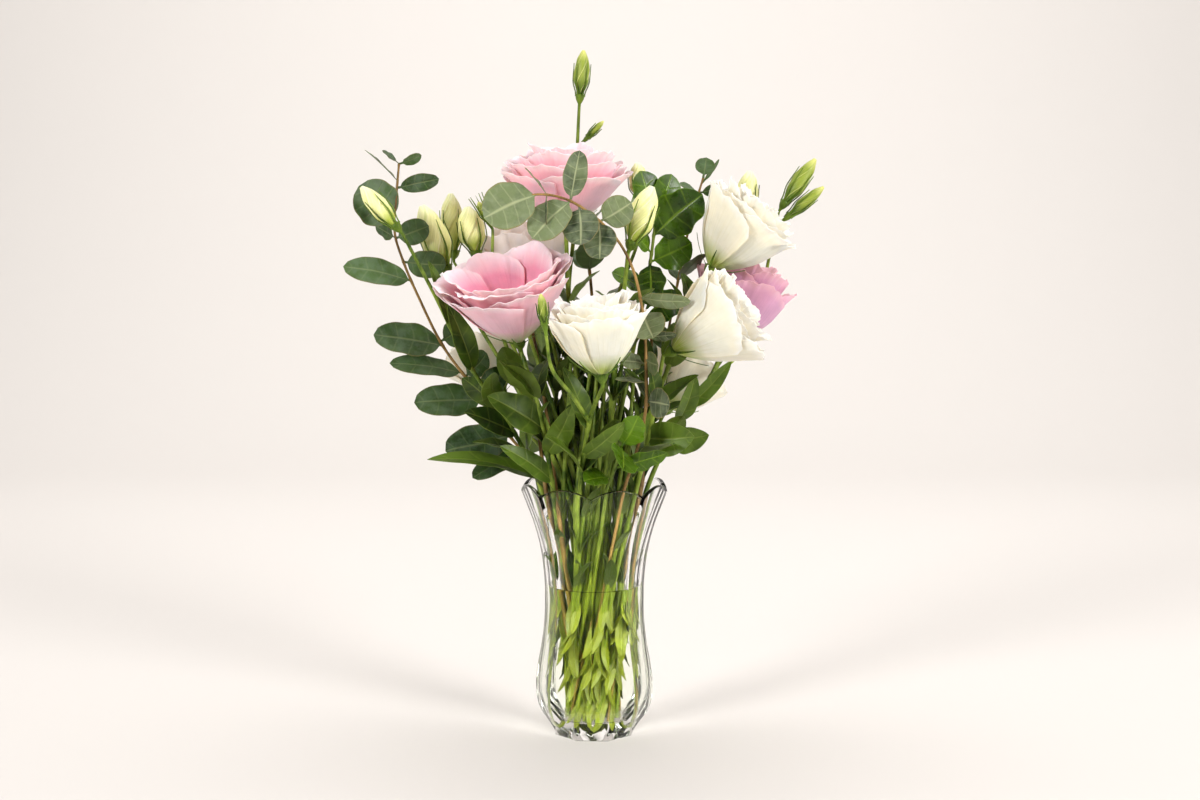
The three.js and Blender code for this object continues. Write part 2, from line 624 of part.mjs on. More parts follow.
// Distance of a bud's skin from its axis, as a share of its radius, at a share u of its length.
function budSwell(u) {
  return through([[0, 0.3], [0.12, 0.6], [0.36, 1], [0.62, 0.96], [0.85, 0.68], [1, 0.22]], u);
}

// A bud: petals wound tight, raised in four soft ribs that turn with height.
function bud(flower) {
  const sides = 8;
  const rings = [0, 0.12, 0.36, 0.6, 0.82, 1].map((u) => Array.from({ length: sides }, (_, k) => {
    const r = flower.radius * budSwell(u) * (k % 2 ? 1 : 0.88);
    return heading((360 * k) / sides + 80 * u).multiplyScalar(r).setZ(flower.length * u);
  }));
  const tip = new THREE.Vector3(0, 0, flower.length + 1);
  const [ends, ...placed] = stood(flower, [[new THREE.Vector3(), tip], ...rings]);
  return ringed(placed, ...ends);
}

// The radius of the green cup under a flower.
function cupRadius(flower) {
  return flower.kind ? CALYX_RADIUS : Math.min(CALYX_RADIUS, flower.radius * 0.42 + 0.8);
}

// The calyx at the end of a stem: the cup that the stem widens into, as one ring with a point
// below each sepal, and then each sepal as its foot's three points, three at its bend and tip.
function calyxRings(flower) {
  const wide = cupRadius(flower);
  const at = (azimuth, r, z) => heading(azimuth).multiplyScalar(r).setZ(z);
  const spin = flower.spin ?? 0;
  const azimuths = Array.from({ length: SEPALS }, (_, i) => spin + (360 / SEPALS) * (i + 0.5));
  const cup = azimuths.map((azimuth) => at(azimuth, wide * 0.85, -3.5));
  const crown = azimuths.map((azimuth) => {
    const [r, z] = sepalPlace(flower, wide, 0.45);
    const [tipRadius, tipHeight] = sepalPlace(flower, wide, 1);
    const spread = (SEPAL_HALF_WIDTH / r) * THREE.MathUtils.RAD2DEG;
    return [
      at(azimuth - 24, wide, -CALYX_GAP - 0.5),
      at(azimuth + 24, wide, -CALYX_GAP - 0.5),
      at(azimuth, wide * 0.8, -CALYX_GAP),
      at(azimuth - spread, r, z),
      at(azimuth + spread, r, z),
      at(azimuth, r - SEPAL_THICKNESS, z + 0.3),
      at(azimuth, tipRadius, tipHeight),
    ];
  });
  const placed = stood(flower, [cup, ...crown, [new THREE.Vector3(0, 0, -CALYX_GAP)]]);
  return { cup: placed[0], crown: placed.slice(1, -1), centre: placed.at(-1)[0] };
}

// The ring's points from the one that lies nearest to the first point of another ring.
function facing(ring, other) {
  const near = ring.map((point) => point.distanceTo(other[0]));
  const first = near.indexOf(Math.min(...near));
  return [...ring.slice(first), ...ring.slice(0, first)];
}

// A stem's solid from its rings, ending in a flower's calyx, or in a point if it is bare.
function stemSolid(rings, foot, tip, flower) {
  if (!flower) return ringed(rings, foot, tip);
  const { cup, crown, centre } = calyxRings(flower);
  const all = [...rings, facing(cup, rings.at(-1))];
  const shift = cup.indexOf(all.at(-1)[0]);
  const points = [...all.flat(), foot, centre, ...crown.flat()];
  const triangles = band(all.length, SEPALS);
  const top = (all.length - 1) * SEPALS;
  const first = points.length - 7 * SEPALS;
  const centreAt = first - 1;
  for (let k = 0; k < SEPALS; k++) {
    triangles.push(first - 2, (k + 1) % SEPALS, k);
    const own = first + 7 * ((k + shift) % SEPALS);
    const next = first + 7 * ((k + 1 + shift) % SEPALS);
    const [left, right, inner] = [own, own + 1, own + 2];
    const [bendLeft, bendRight, bendInner, end] = [own + 3, own + 4, own + 5, own + 6];
    triangles.push(top + k, right, left);
    triangles.push(top + k, top + ((k + 1) % SEPALS), next, top + k, next, right);
    triangles.push(centreAt, inner, right, centreAt, right, next, centreAt, next, next + 2);
    triangles.push(left, right, bendRight, left, bendRight, bendLeft);
    triangles.push(right, inner, bendInner, right, bendInner, bendRight);
    triangles.push(inner, left, bendLeft, inner, bendLeft, bendInner);
    triangles.push(bendLeft, bendRight, end, bendRight, bendInner, end, bendInner, bendLeft, end);
  }
  return solid(points, triangles);
}

// Distance from the axis and height of a place on the line of a sepal, which leaves the cup's
// edge and follows the outermost petals or the bud.
function sepalPlace(flower, wide, u) {
  if (!flower.kind) {
    const height = u * (flower.awn ?? flower.length * 0.8);
    const skin = flower.radius * budSwell(Math.min(height / flower.length, 0.36));
    return [Math.max(skin + SEPAL_SPACE + u * u, wide), height - 1];
  }
  const { angles, layers: [[length]] } = BLOOM_KINDS[flower.kind];
  const petal = petalProfile(angles, length, 1.06, PETAL_FOOT[0]);
  const [r, z] = petal((u * (flower.sepal ?? 22)) / length);
  const lean = rad(angles[0] * (1 - 0.3 * u));
  const space = SEPAL_SPACE * (0.7 + 0.8 * u);
  return [r + space * Math.cos(lean), z - space * Math.sin(lean)];
}

// How a leaf lies: its foot on the stem, the line to its tip, its width and the way it faces.
// A leaf of a pair is told from one that is stated by the azimuth in its tip's place.
function leafLie(curve, [place, tip, width, roll, length]) {
  const t = (place + 2) / (curve.points.length - 1);
  const foot = curve.getPoint(t);
  const stem = curve.getTangent(t);
  if (Array.isArray(tip)) {
    const chord = new THREE.Vector3(...tip).sub(foot);
    const along = chord.clone().normalize();
    const face = new THREE.Vector3(0, -1, 0.3);
    face.addScaledVector(along, -face.dot(along)).normalize().applyAxisAngle(along, rad(roll));
    return { foot, stem, chord, face, width };
  }
  const side = heading(tip);
  side.addScaledVector(stem, -side.dot(stem)).normalize();
  const [up, out] = [Math.cos(rad(PAIR_PITCH)), Math.sin(rad(PAIR_PITCH))];
  const chord = stem.clone().multiplyScalar(up * length).addScaledVector(side, out * length);
  const face = stem.clone().multiplyScalar(out).addScaledVector(side, -up);
  return { foot, stem, chord, face, width };
}

// The same lie swung round the stem and then tilted to or from it.
function swung({ foot, stem, chord, face, width }, [turn, tilt]) {
  const across = chord.clone().cross(face).normalize().applyAxisAngle(stem, rad(turn));
  const swing = (v) => v.clone().applyAxisAngle(stem, rad(turn)).applyAxisAngle(across, rad(tilt));
  return { foot, chord: swing(chord), face: swing(face), width };
}

// A leaf's surface, longer and broader all round by some room.
function leafPoint(kind, { foot, chord, face, width }, room = 0) {
  const { skew, full, arch, fold, stalk, teeth } = LEAF_KINDS[kind];
  const reach = chord.length() + room;
  const along = chord.clone().normalize();
  const across = along.clone().cross(face);
  return (u, v) => {
    const s = clamp((u * reach - stalk) / (reach - stalk), 0, 1) ** skew;
    const shape = (4 * s * (1 - s)) ** full * (1 - (teeth * (1 + Math.cos(6 * Math.PI * u))) / 2);
    const half = u >= 1 ? 0 : Math.max((width / 2) * shape, LEAF_LEAST_HALF_WIDTH) + room;
    return foot.clone()
      .addScaledVector(along, u * reach)
      .addScaledVector(across, v * half)
      .addScaledVector(face, 4 * arch * reach * u * (1 - u) + fold * Math.abs(v) * half);
  };
}

// The pieces set in place so far, each with its box, for keeping leaves clear of them.
const settled = new Map();

function settle(name, made) {
  settled.set(name, { made, box: made.boundingBox() });
}

// Whether a solid meets nothing that is settled, other than its own stem.
function isClear(made, own) {
  const box = made.boundingBox();
  for (const [name, other] of settled) {
    if (name === own) continue;
    const { min, max } = other.box;
    const apart = [0, 1, 2].some((k) => box.min[k] > max[k] || min[k] > box.max[k]);
    if (!apart && made.intersect(other.made).volume() > 0) return false;
  }
  return true;
}

// A stem's route: straight from its foot on the vase's floor to near the rim, then bending
// through its own points to the flower it carries.
function stemRoute({ ring, rim, up, end }) {
  const lay = RINGS[ring];
  const foot = heading(rim - lay.turn).multiplyScalar(lay.foot).setZ(STEM_FOOT);
  const pass = heading(rim).multiplyScalar(lay.rim).setZ(RIM_PASS);
  const straight = (z) => foot.clone().lerp(pass, (z - STEM_FOOT) / (RIM_PASS - STEM_FOOT));
  return route([foot, straight(STRAIGHT_TO), pass, ...up, ...stemEnd(end)]);
}

// The last point of a stem or branch: the bottom of its flower's calyx, or none if it is bare.
function stemEnd(name) {
  const flower = BLOOMS[name] ?? BUDS[name];
  if (!flower) return [];
  const axis = new THREE.Vector3(...flower.lean).normalize();
  return [new THREE.Vector3(...flower.base).addScaledVector(axis, -CALYX_LENGTH)];
}

// The places of a tube's rings: one for each of the first straight points, then by length.
function ringPlaces(curve, straight) {
  const last = curve.points.length - 1;
  const places = Array.from({ length: straight + 1 }, (_, i) => i / last);
  for (let i = straight; i < last; i++) {
    const span = curve.points[i].distanceTo(curve.points[i + 1]);
    const steps = Math.max(1, Math.round(span / STEM_STEP));
    for (let k = 1; k <= steps; k++) places.push((i + k / steps) / last);
  }
  return places;
}

// A stem, branch or twig, which thins towards its end and carries a flower there, if any.
function stalk(curve, radius, straight, end) {
  const places = ringPlaces(curve, straight);
  const rings = tubeRings(curve, places, STEM_SIDES, (t) => radius * (1 - 0.35 * t), straight > 0);
  return stemSolid(rings, curve.getPoint(0), curve.getPoint(1), BLOOMS[end] ?? BUDS[end]);
}

// The branches of a stem and the twigs on those, each with its route.
function branchRoutes(stem, curve) {
  const found = [];
  const grow = (parent, offset, twig) => {
    const start = parent.getPoint((twig.at + offset) / (parent.points.length - 1));
    found.push({ end: twig.end, curve: route([start, ...twig.via, ...stemEnd(twig.end)]) });
  };
  for (const branch of stem.branches ?? []) grow(curve, 2, branch);
  for (const twig of stem.twigs ?? []) grow(found[twig.on].curve, 0, twig);
  return found;
}

// Stands the flowers, the vase and the bare stems.
Object.entries(BLOOMS).forEach(([name, flower], i) => settle(name, bloom(flower, i + 1)));
Object.entries(BUDS).forEach(([name, flower]) => settle(name, bud(flower)));
settle("vase", vase());
const curves = new Map();
for (const stem of STEMS) {
  const curve = stemRoute(stem);
  const branches = branchRoutes(stem, curve);
  const pieces = [stalk(curve, stem.radius, 2, stem.end)];
  for (const branch of branches) pieces.push(stalk(branch.curve, stem.radius * 0.75, 0, branch.end));
  curves.set(stem.name, curve);
  settle(stem.name, joined(pieces));
}

// Hangs a leaf on its stem at the first turn that keeps a thicker and broader copy of it clear.
function hang(stem, leaf) {
  const kind = stem.kind ?? "lisianthus";
  const lie = leafLie(curves.get(stem.name), leaf);
  const rows = LEAF_KINDS[kind].rows - (lie.chord.length() < SMALL_LEAF ? 1 : 0);
  for (const turns of LEAF_TURNS) {
    const at = swung(lie, turns);
    const room = blade(rows, 2, LEAF_THICKNESS + 2 * CLEAR, leafPoint(kind, at, CLEAR));
    if (!isClear(room, stem.name)) continue;
    const made = blade(rows, 2, LEAF_THICKNESS, leafPoint(kind, at));
    settle(stem.name, settled.get(stem.name).made.add(made));
    return;
  }
}

// Hangs the leaves that are stated one by one, then the opposite pairs.
for (const stem of STEMS) for (const leaf of stem.leaves) hang(stem, leaf);
for (const stem of STEMS) {
  for (const [place, azimuth, length, width] of stem.pairs ?? []) {
    hang(stem, [place, azimuth, width, 0, length]);
    hang(stem, [place, azimuth + 180, width, 0, length * 0.94]);
  }
}

// The water, with a plain hole for each stem that stands in it.
const holes = STEMS.map(({ name, radius }) => stalk(curves.get(name), radius + STEM_GAP, 2));
const water = holes.reduce((whole, hole) => whole.subtract(hole), waterBody());

const group = new THREE.Group();

// Adds a solid to the group as a named mesh with its colour and finish.
function add(name, made, colour, finish = {}) {
  const { vertProperties, triVerts } = made.getMesh();
  const geometry = new THREE.BufferGeometry();
  geometry.setAttribute("position", new THREE.BufferAttribute(vertProperties, 3));
  geometry.setIndex(new THREE.BufferAttribute(triVerts, 1));
  const look = { color: COLOURS[colour], roughness: 0.6, metalness: 0, ...finish };
  const material = new THREE.MeshStandardMaterial(look);
  const mesh = new THREE.Mesh(geometry, material);
  mesh.name = name;
  group.add(mesh);
}

for (const name of Object.keys(BLOOMS)) add(name, settled.get(name).made, BLOOMS[name].colour);
for (const name of Object.keys(BUDS)) add(name, settled.get(name).made, BUDS[name].colour);
for (const { name, kind } of STEMS) add(name, settled.get(name).made, kind ?? "stem");
add("vase", settled.get("vase").made, "glass", { roughness: 0.05, transparent: true, opacity: 0.35 });
add("water", water, "water", { roughness: 0.02, transparent: true, opacity: 0.3 });

export default group;
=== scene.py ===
"""Lisianthus in a fluted clear-glass vase of water, dressed for its portrait.

Blooms and buds of lisianthus stand on leafy stems among eucalyptus branches and broad-leaved
greenery. The sizes and places are those of the part's own source, in millimetres, with +Z up,
+X to the right and -Y to the front. Azimuths are degrees round +Z from the front towards the
right. Every mesh is made in metres, where it stands.
"""
from __future__ import annotations

import logging
import math
from dataclasses import dataclass, field
from enum import Enum
from typing import Any, Callable, ClassVar, Iterable, NamedTuple, Sequence

import bmesh
import bpy
import numpy as np
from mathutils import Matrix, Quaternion, Vector
from mathutils.kdtree import KDTree

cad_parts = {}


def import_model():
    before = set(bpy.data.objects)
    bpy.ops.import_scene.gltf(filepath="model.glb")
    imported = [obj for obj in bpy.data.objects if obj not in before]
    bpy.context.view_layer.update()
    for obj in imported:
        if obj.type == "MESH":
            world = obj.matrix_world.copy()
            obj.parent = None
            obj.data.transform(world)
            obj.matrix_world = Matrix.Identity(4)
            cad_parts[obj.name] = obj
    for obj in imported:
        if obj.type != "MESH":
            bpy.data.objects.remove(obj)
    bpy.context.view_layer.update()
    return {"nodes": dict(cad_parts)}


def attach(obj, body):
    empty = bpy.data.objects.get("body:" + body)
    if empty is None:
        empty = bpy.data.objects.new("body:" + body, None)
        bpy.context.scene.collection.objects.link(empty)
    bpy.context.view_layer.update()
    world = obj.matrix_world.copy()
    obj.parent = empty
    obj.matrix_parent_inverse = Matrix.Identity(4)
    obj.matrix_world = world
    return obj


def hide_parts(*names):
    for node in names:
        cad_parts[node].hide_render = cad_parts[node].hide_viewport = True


log = logging.getLogger("bouquet")

Triple = tuple[float, float, float]
Table = tuple[tuple[float, float], ...]
Inputs = dict[int | str, Any]

MM = 0.001
JOIN = 0.02 * MM
BODY = "root"
UP = Vector((0, 0, 1))
SHEET_UV = "Sheet"
UNDERSIDE = "underside"
TINT = "tint"


# Small sums


def heading(azimuth: float) -> Vector:
    """The level direction at an azimuth in degrees."""
    return Vector((math.sin(math.radians(azimuth)), -math.cos(math.radians(azimuth)), 0))


def around(r: float | np.ndarray, azimuth: np.ndarray, z: float | np.ndarray) -> np.ndarray:
    """Places at distances from the Z axis, at azimuths in radians and at heights."""
    return np.stack(np.broadcast_arrays(r * np.sin(azimuth), -r * np.cos(azimuth), z), -1)


def paired(across: np.ndarray, along: np.ndarray) -> np.ndarray:
    """Pairs the shares across and along a surface, point by point."""
    return np.stack(np.broadcast_arrays(across, along), -1)


def chance(i: float, j: float) -> float:
    """A number from 0 to 1 that looks random but is always the same for two numbers."""
    whole = math.sin(i * 12.9898 + j * 78.233) * 43758.5453
    return whole - math.floor(whole)


def eased(table: Table, x: float | np.ndarray) -> np.ndarray:
    """Reads a table of x and y along a smooth curve through its points.

    Args:
        table: Pairs of x and y, with x rising.
        x: Where to read it.

    Returns:
        The value of y there, held at the ends.
    """
    xs, ys = np.array(table, float).T
    slopes = np.gradient(ys, xs)
    chords = np.diff(ys) / np.diff(xs)
    flat = np.zeros(len(xs), bool)
    flat[1:-1] = chords[:-1] * chords[1:] <= 0
    slopes[flat] = 0
    x = np.clip(x, xs[0], xs[-1])
    i = np.clip(np.searchsorted(xs, x, side="right") - 1, 0, len(xs) - 2)
    h = xs[i + 1] - xs[i]
    t = (x - xs[i]) / h
    low = (1 + 2 * t) * (1 - t) ** 2 * ys[i] + t * (1 - t) ** 2 * h * slopes[i]
    high = t * t * (3 - 2 * t) * ys[i + 1] + t * t * (t - 1) * h * slopes[i + 1]
    return low + high


def linear(code: str) -> tuple[float, float, float, float]:
    """Turns a colour's sRGB hex code, such as "F19CC0", into linear red, green, blue and 1."""
    channels = [int(code[i:i + 2], 16) / 255 for i in (0, 2, 4)]
    turned = [c / 12.92 if c <= 0.04045 else ((c + 0.055) / 1.055) ** 2.4 for c in channels]
    return (*turned, 1.0)


# Nodes


def add_node(
    tree: bpy.types.NodeTree,
    kind: str,
    inputs: Inputs | None = None,
    stops: Sequence[tuple[float, str]] = (),
    **settings: Any,
) -> bpy.types.Node:
    """Adds a node to a tree.

    Args:
        tree: The tree of a material, a world or a geometry group.
        kind: The node's type.
        inputs: What each named or numbered input gets: a plain value, a socket to link, or a
            node whose first output in use is linked.
        stops: For a ramp, the place and hex colour of each stop.
        settings: The node's own settings.

    Returns:
        The new node.
    """
    node = tree.nodes.new(kind)
    for key, value in settings.items():
        setattr(node, key, value)
    if stops:
        ramp = node.color_ramp.elements
        while len(ramp) < len(stops):
            ramp.new(1.0)
        for element, (place, code) in zip(ramp, stops):
            element.position = place
            element.color = linear(code)
    for key, value in (inputs or {}).items():
        if isinstance(value, bpy.types.Node):
            value = next(output for output in value.outputs if output.enabled)
        if isinstance(value, bpy.types.NodeSocket):
            tree.links.new(value, node.inputs[key])
        else:
            node.inputs[key].default_value = value
    return node


# Finishes


GREEN_GLOW = {
    "Subsurface Weight": 0.08, "Subsurface Radius": (0.5, 1.0, 0.2), "Subsurface Scale": 0.002,
}


@dataclass(frozen=True)
class Finish:
    """What a surface is made of: its name, its slot in the record and its gloss."""

    label: str
    slot: str
    roughness: float
    ior: float

    def material(self) -> bpy.types.Material:
        """Makes the material, or finds it if it is made.

        Returns:
            The one material with this finish's name.
        """
        found = bpy.data.materials.get(self.label)
        if found:
            return found
        material = bpy.data.materials.new(self.label)
        material.use_nodes = True
        tree = material.node_tree
        tree.nodes.clear()
        shader = add_node(tree, "ShaderNodeBsdfPrincipled", {
            "Roughness": self.roughness, "IOR": self.ior, **self.dress(tree),
        })
        add_node(tree, "ShaderNodeOutputMaterial", {"Surface": shader})
        return material

    def dress(self, tree: bpy.types.NodeTree) -> Inputs:
        """Makes the finish's colours and relief, and says what the shader's inputs get."""
        raise NotImplementedError


class SheetSpot:
    """The sockets that tell a finish where on a petal or a leaf it is.

    Its side is 0 on the midline and 1 at either edge, and its tint is the sheet's own number.
    """

    def __init__(self, tree: bpy.types.NodeTree) -> None:
        """Adds the nodes that hold the sockets.

        Args:
            tree: The material's nodes.
        """
        self.place = add_node(tree, "ShaderNodeTexCoord").outputs["Object"]
        self.sheet = add_node(tree, "ShaderNodeUVMap", uv_map=SHEET_UV).outputs[0]
        across, self.along, _ = add_node(tree, "ShaderNodeSeparateXYZ", {0: self.sheet}).outputs
        offside = add_node(tree, "ShaderNodeMath", {0: across, 1: 2, 2: -1},
                           operation="MULTIPLY_ADD")
        self.side = add_node(tree, "ShaderNodeMath", {0: offside}, operation="ABSOLUTE").outputs[0]
        self.under, self.tint = (
            add_node(tree, "ShaderNodeAttribute", attribute_name=label).outputs["Fac"]
            for label in (UNDERSIDE, TINT)
        )


@dataclass(frozen=True)
class PetalFinish(Finish):
    """A fresh petal, thin and velvety over watery cells.

    Light glows through it, so its shadows are warm. Veins rise from its green foot and fade
    before the rim, and its inside is the deeper coloured side.
    """

    foot: str
    outside: str
    inside: str
    rim: str
    # The veins' colour, also used for the painted shade along the petals' side edges.
    vein_and_hem_shade: str
    veining: float
    glow: float = 0.55

    def dress(self, tree: bpy.types.NodeTree) -> Inputs:
        """Mixes foot, body and rim colours with veins and crinkles.

        Args:
            tree: The material's nodes.

        Returns:
            What the shader's inputs get.
        """
        spot = SheetSpot(tree)
        outer = add_node(tree, "ShaderNodeValToRGB", {0: spot.along}, stops=(
            (0, self.foot), (0.14, self.foot), (0.44, self.outside), (0.86, self.outside),
            (1, self.rim),
        ))
        inner = add_node(tree, "ShaderNodeValToRGB", {0: spot.along}, stops=(
            (0, self.foot), (0.1, self.foot), (0.28, self.inside), (0.72, self.inside),
            (0.96, self.rim),
        ))
        skin = add_node(tree, "ShaderNodeMix", {0: spot.under, 6: inner, 7: outer}, data_type="RGBA")
        # Veins a millimetre or so apart: some forty across a petal 55 mm wide.
        lengthwise = add_node(tree, "ShaderNodeMapping", {"Vector": spot.sheet, "Scale": (44, 1.5, 1)})
        seed = add_node(tree, "ShaderNodeMath", {0: spot.tint, 1: 40}, operation="MULTIPLY")
        streaks = add_node(
            tree, "ShaderNodeTexNoise", {"Vector": lengthwise, "W": seed, "Scale": 1, "Detail": 3},
            noise_dimensions="4D",
        )
        strength = add_node(
            tree, "ShaderNodeMapRange", {0: streaks, 1: 0.48, 2: 0.66, 3: 0.0, 4: self.veining}
        )
        fade = add_node(tree, "ShaderNodeMapRange", {0: spot.along, 1: 0.3, 2: 0.9, 3: 1, 4: 0.1})
        strength = add_node(tree, "ShaderNodeMath", {0: strength, 1: fade}, operation="MULTIPLY")
        # Painted shade: the side edges get a deeper line a millimetre wide. It stands in for the shade
        # where a petal lies doubled over what lies behind.
        hem = add_node(tree, "ShaderNodeMapRange", {0: spot.side, 1: 0.97, 2: 0.996, 3: 0, 4: 0.7})
        strength = add_node(tree, "ShaderNodeMath", {0: strength, 1: hem}, operation="MAXIMUM")
        veined = add_node(
            tree, "ShaderNodeMix", {0: strength, 6: skin, 7: linear(self.vein_and_hem_shade)}, data_type="RGBA"
        )
        # Clouds of deeper and paler colour, some 12 mm across.
        clouds = add_node(tree, "ShaderNodeTexNoise", {"Vector": spot.place, "Scale": 85, "Detail": 2})
        shade = add_node(tree, "ShaderNodeMapRange", {0: clouds, 1: 0.3, 2: 0.7, 3: 0.93, 4: 1.04})
        # Fine crinkles some 2 mm apart run with the veins.
        fine = add_node(tree, "ShaderNodeTexNoise", {"Vector": spot.place, "Scale": 420, "Detail": 2})
        height = add_node(tree, "ShaderNodeMath", {0: streaks, 1: fine}, operation="ADD")
        return {
            "Base Color": add_node(
                tree, "ShaderNodeVectorMath", {0: veined, "Scale": shade}, operation="SCALE"
            ),
            "Normal": add_node(
                tree, "ShaderNodeBump", {"Height": height, "Strength": 0.35, "Distance": 0.0004}
            ),
            "Subsurface Weight": self.glow, "Subsurface Radius": (1.0, 0.75, 0.55),
            "Subsurface Scale": 0.005, "Sheen Weight": 0.15, "Sheen Roughness": 0.5,
        }


@dataclass(frozen=True)
class BudFinish(Finish):
    """Petals wound tight in a bud: waxy, green below and cream where the sun will reach."""

    foot: str
    body: str
    tip: str
    edge: str

    def dress(self, tree: bpy.types.NodeTree) -> Inputs:
        """Mixes the colours up the bud with its petals' edges and veins.

        Args:
            tree: The material's nodes.

        Returns:
            What the shader's inputs get.
        """
        sheet = add_node(tree, "ShaderNodeUVMap", uv_map=SHEET_UV)
        across, along, _ = add_node(tree, "ShaderNodeSeparateXYZ", {0: sheet}).outputs
        skin = add_node(tree, "ShaderNodeValToRGB", {0: along}, stops=(
            (0, self.foot), (0.14, self.foot), (0.42, self.body), (0.75, self.body),
            (1, self.tip),
        ))
        # Ribs and veins some 1 mm apart, on petals about 12 mm wide.
        lengthwise = add_node(tree, "ShaderNodeMapping", {"Vector": sheet, "Scale": (9, 1.4, 1)})
        streaks = add_node(
            tree, "ShaderNodeTexNoise", {"Vector": lengthwise, "Scale": 1.3, "Detail": 3}
        )
        rib = add_node(tree, "ShaderNodeMapRange", {0: streaks, 1: 0.45, 2: 0.65, 3: 0, 4: 0.35})
        # The free edge of each petal is the palest line on the bud.
        free = add_node(tree, "ShaderNodeMapRange", {0: across, 1: 0.9, 2: 0.985, 3: 0, 4: 0.8})
        for share, code in ((rib, self.foot), (free, self.edge)):
            skin = add_node(
                tree, "ShaderNodeMix", {0: share, 6: skin, 7: linear(code)}, data_type="RGBA"
            )
        return {
            "Base Color": skin,
            "Normal": add_node(
                tree, "ShaderNodeBump", {"Height": streaks, "Strength": 0.4, "Distance": 0.0005}
            ),
            "Subsurface Weight": 0.2, "Subsurface Radius": (1.0, 0.9, 0.4),
            "Subsurface Scale": 0.004,
        }


@dataclass(frozen=True)
class StemFinish(Finish):
    """A green stem's skin: smooth and faintly ribbed, lighter and darker along its length."""

    dark: str
    light: str
    patch: float = 14.0
    # The colour under water: partly the soaked skin, partly painted light.
    soaked_and_lit: str = ""

    def dress(self, tree: bpy.types.NodeTree) -> Inputs:
        """Mixes streaks and patches of two greens.

        Args:
            tree: The material's nodes.

        Returns:
            What the shader's inputs get.
        """
        place = add_node(tree, "ShaderNodeTexCoord").outputs["Object"]
        # Streaks 0.8 mm wide and some 15 mm long, over patches of the stated size.
        stretched = add_node(tree, "ShaderNodeMapping", {"Vector": place, "Scale": (1250, 1250, 65)})
        streaks = add_node(tree, "ShaderNodeTexNoise", {"Vector": stretched, "Scale": 1, "Detail": 2})
        patches = add_node(
            tree, "ShaderNodeTexNoise", {"Vector": place, "Scale": 1000 / self.patch, "Detail": 3}
        )
        both = add_node(
            tree, "ShaderNodeMath", {0: streaks, 1: 0.35, 2: patches}, operation="MULTIPLY_ADD"
        )
        skin = add_node(tree, "ShaderNodeValToRGB", {0: both}, stops=(
            (0.5, self.dark), (0.86, self.light),
        ))
        if self.soaked_and_lit:
            # Under water the skin is painted yellower: partly its own soaked colour, partly painted
            # light, as the stems in the water are lit through it. Above the water this fades out to
            # the rim.
            height = add_node(tree, "ShaderNodeSeparateXYZ", {0: place}).outputs[2]
            soaked_and_lit_share = add_node(
                tree, "ShaderNodeMapRange", {0: height, 1: 0.1, 2: 0.168, 3: 0.75, 4: 0.0}
            )
            skin = add_node(
                tree, "ShaderNodeMix", {0: soaked_and_lit_share, 6: skin, 7: linear(self.soaked_and_lit)}, data_type="RGBA"
            )
        return {
            "Base Color": skin,
            "Normal": add_node(
                tree, "ShaderNodeBump", {"Height": streaks, "Strength": 0.3, "Distance": 0.0003}
            ),
            "Specular IOR Level": 0.25, **GREEN_GLOW,
        }


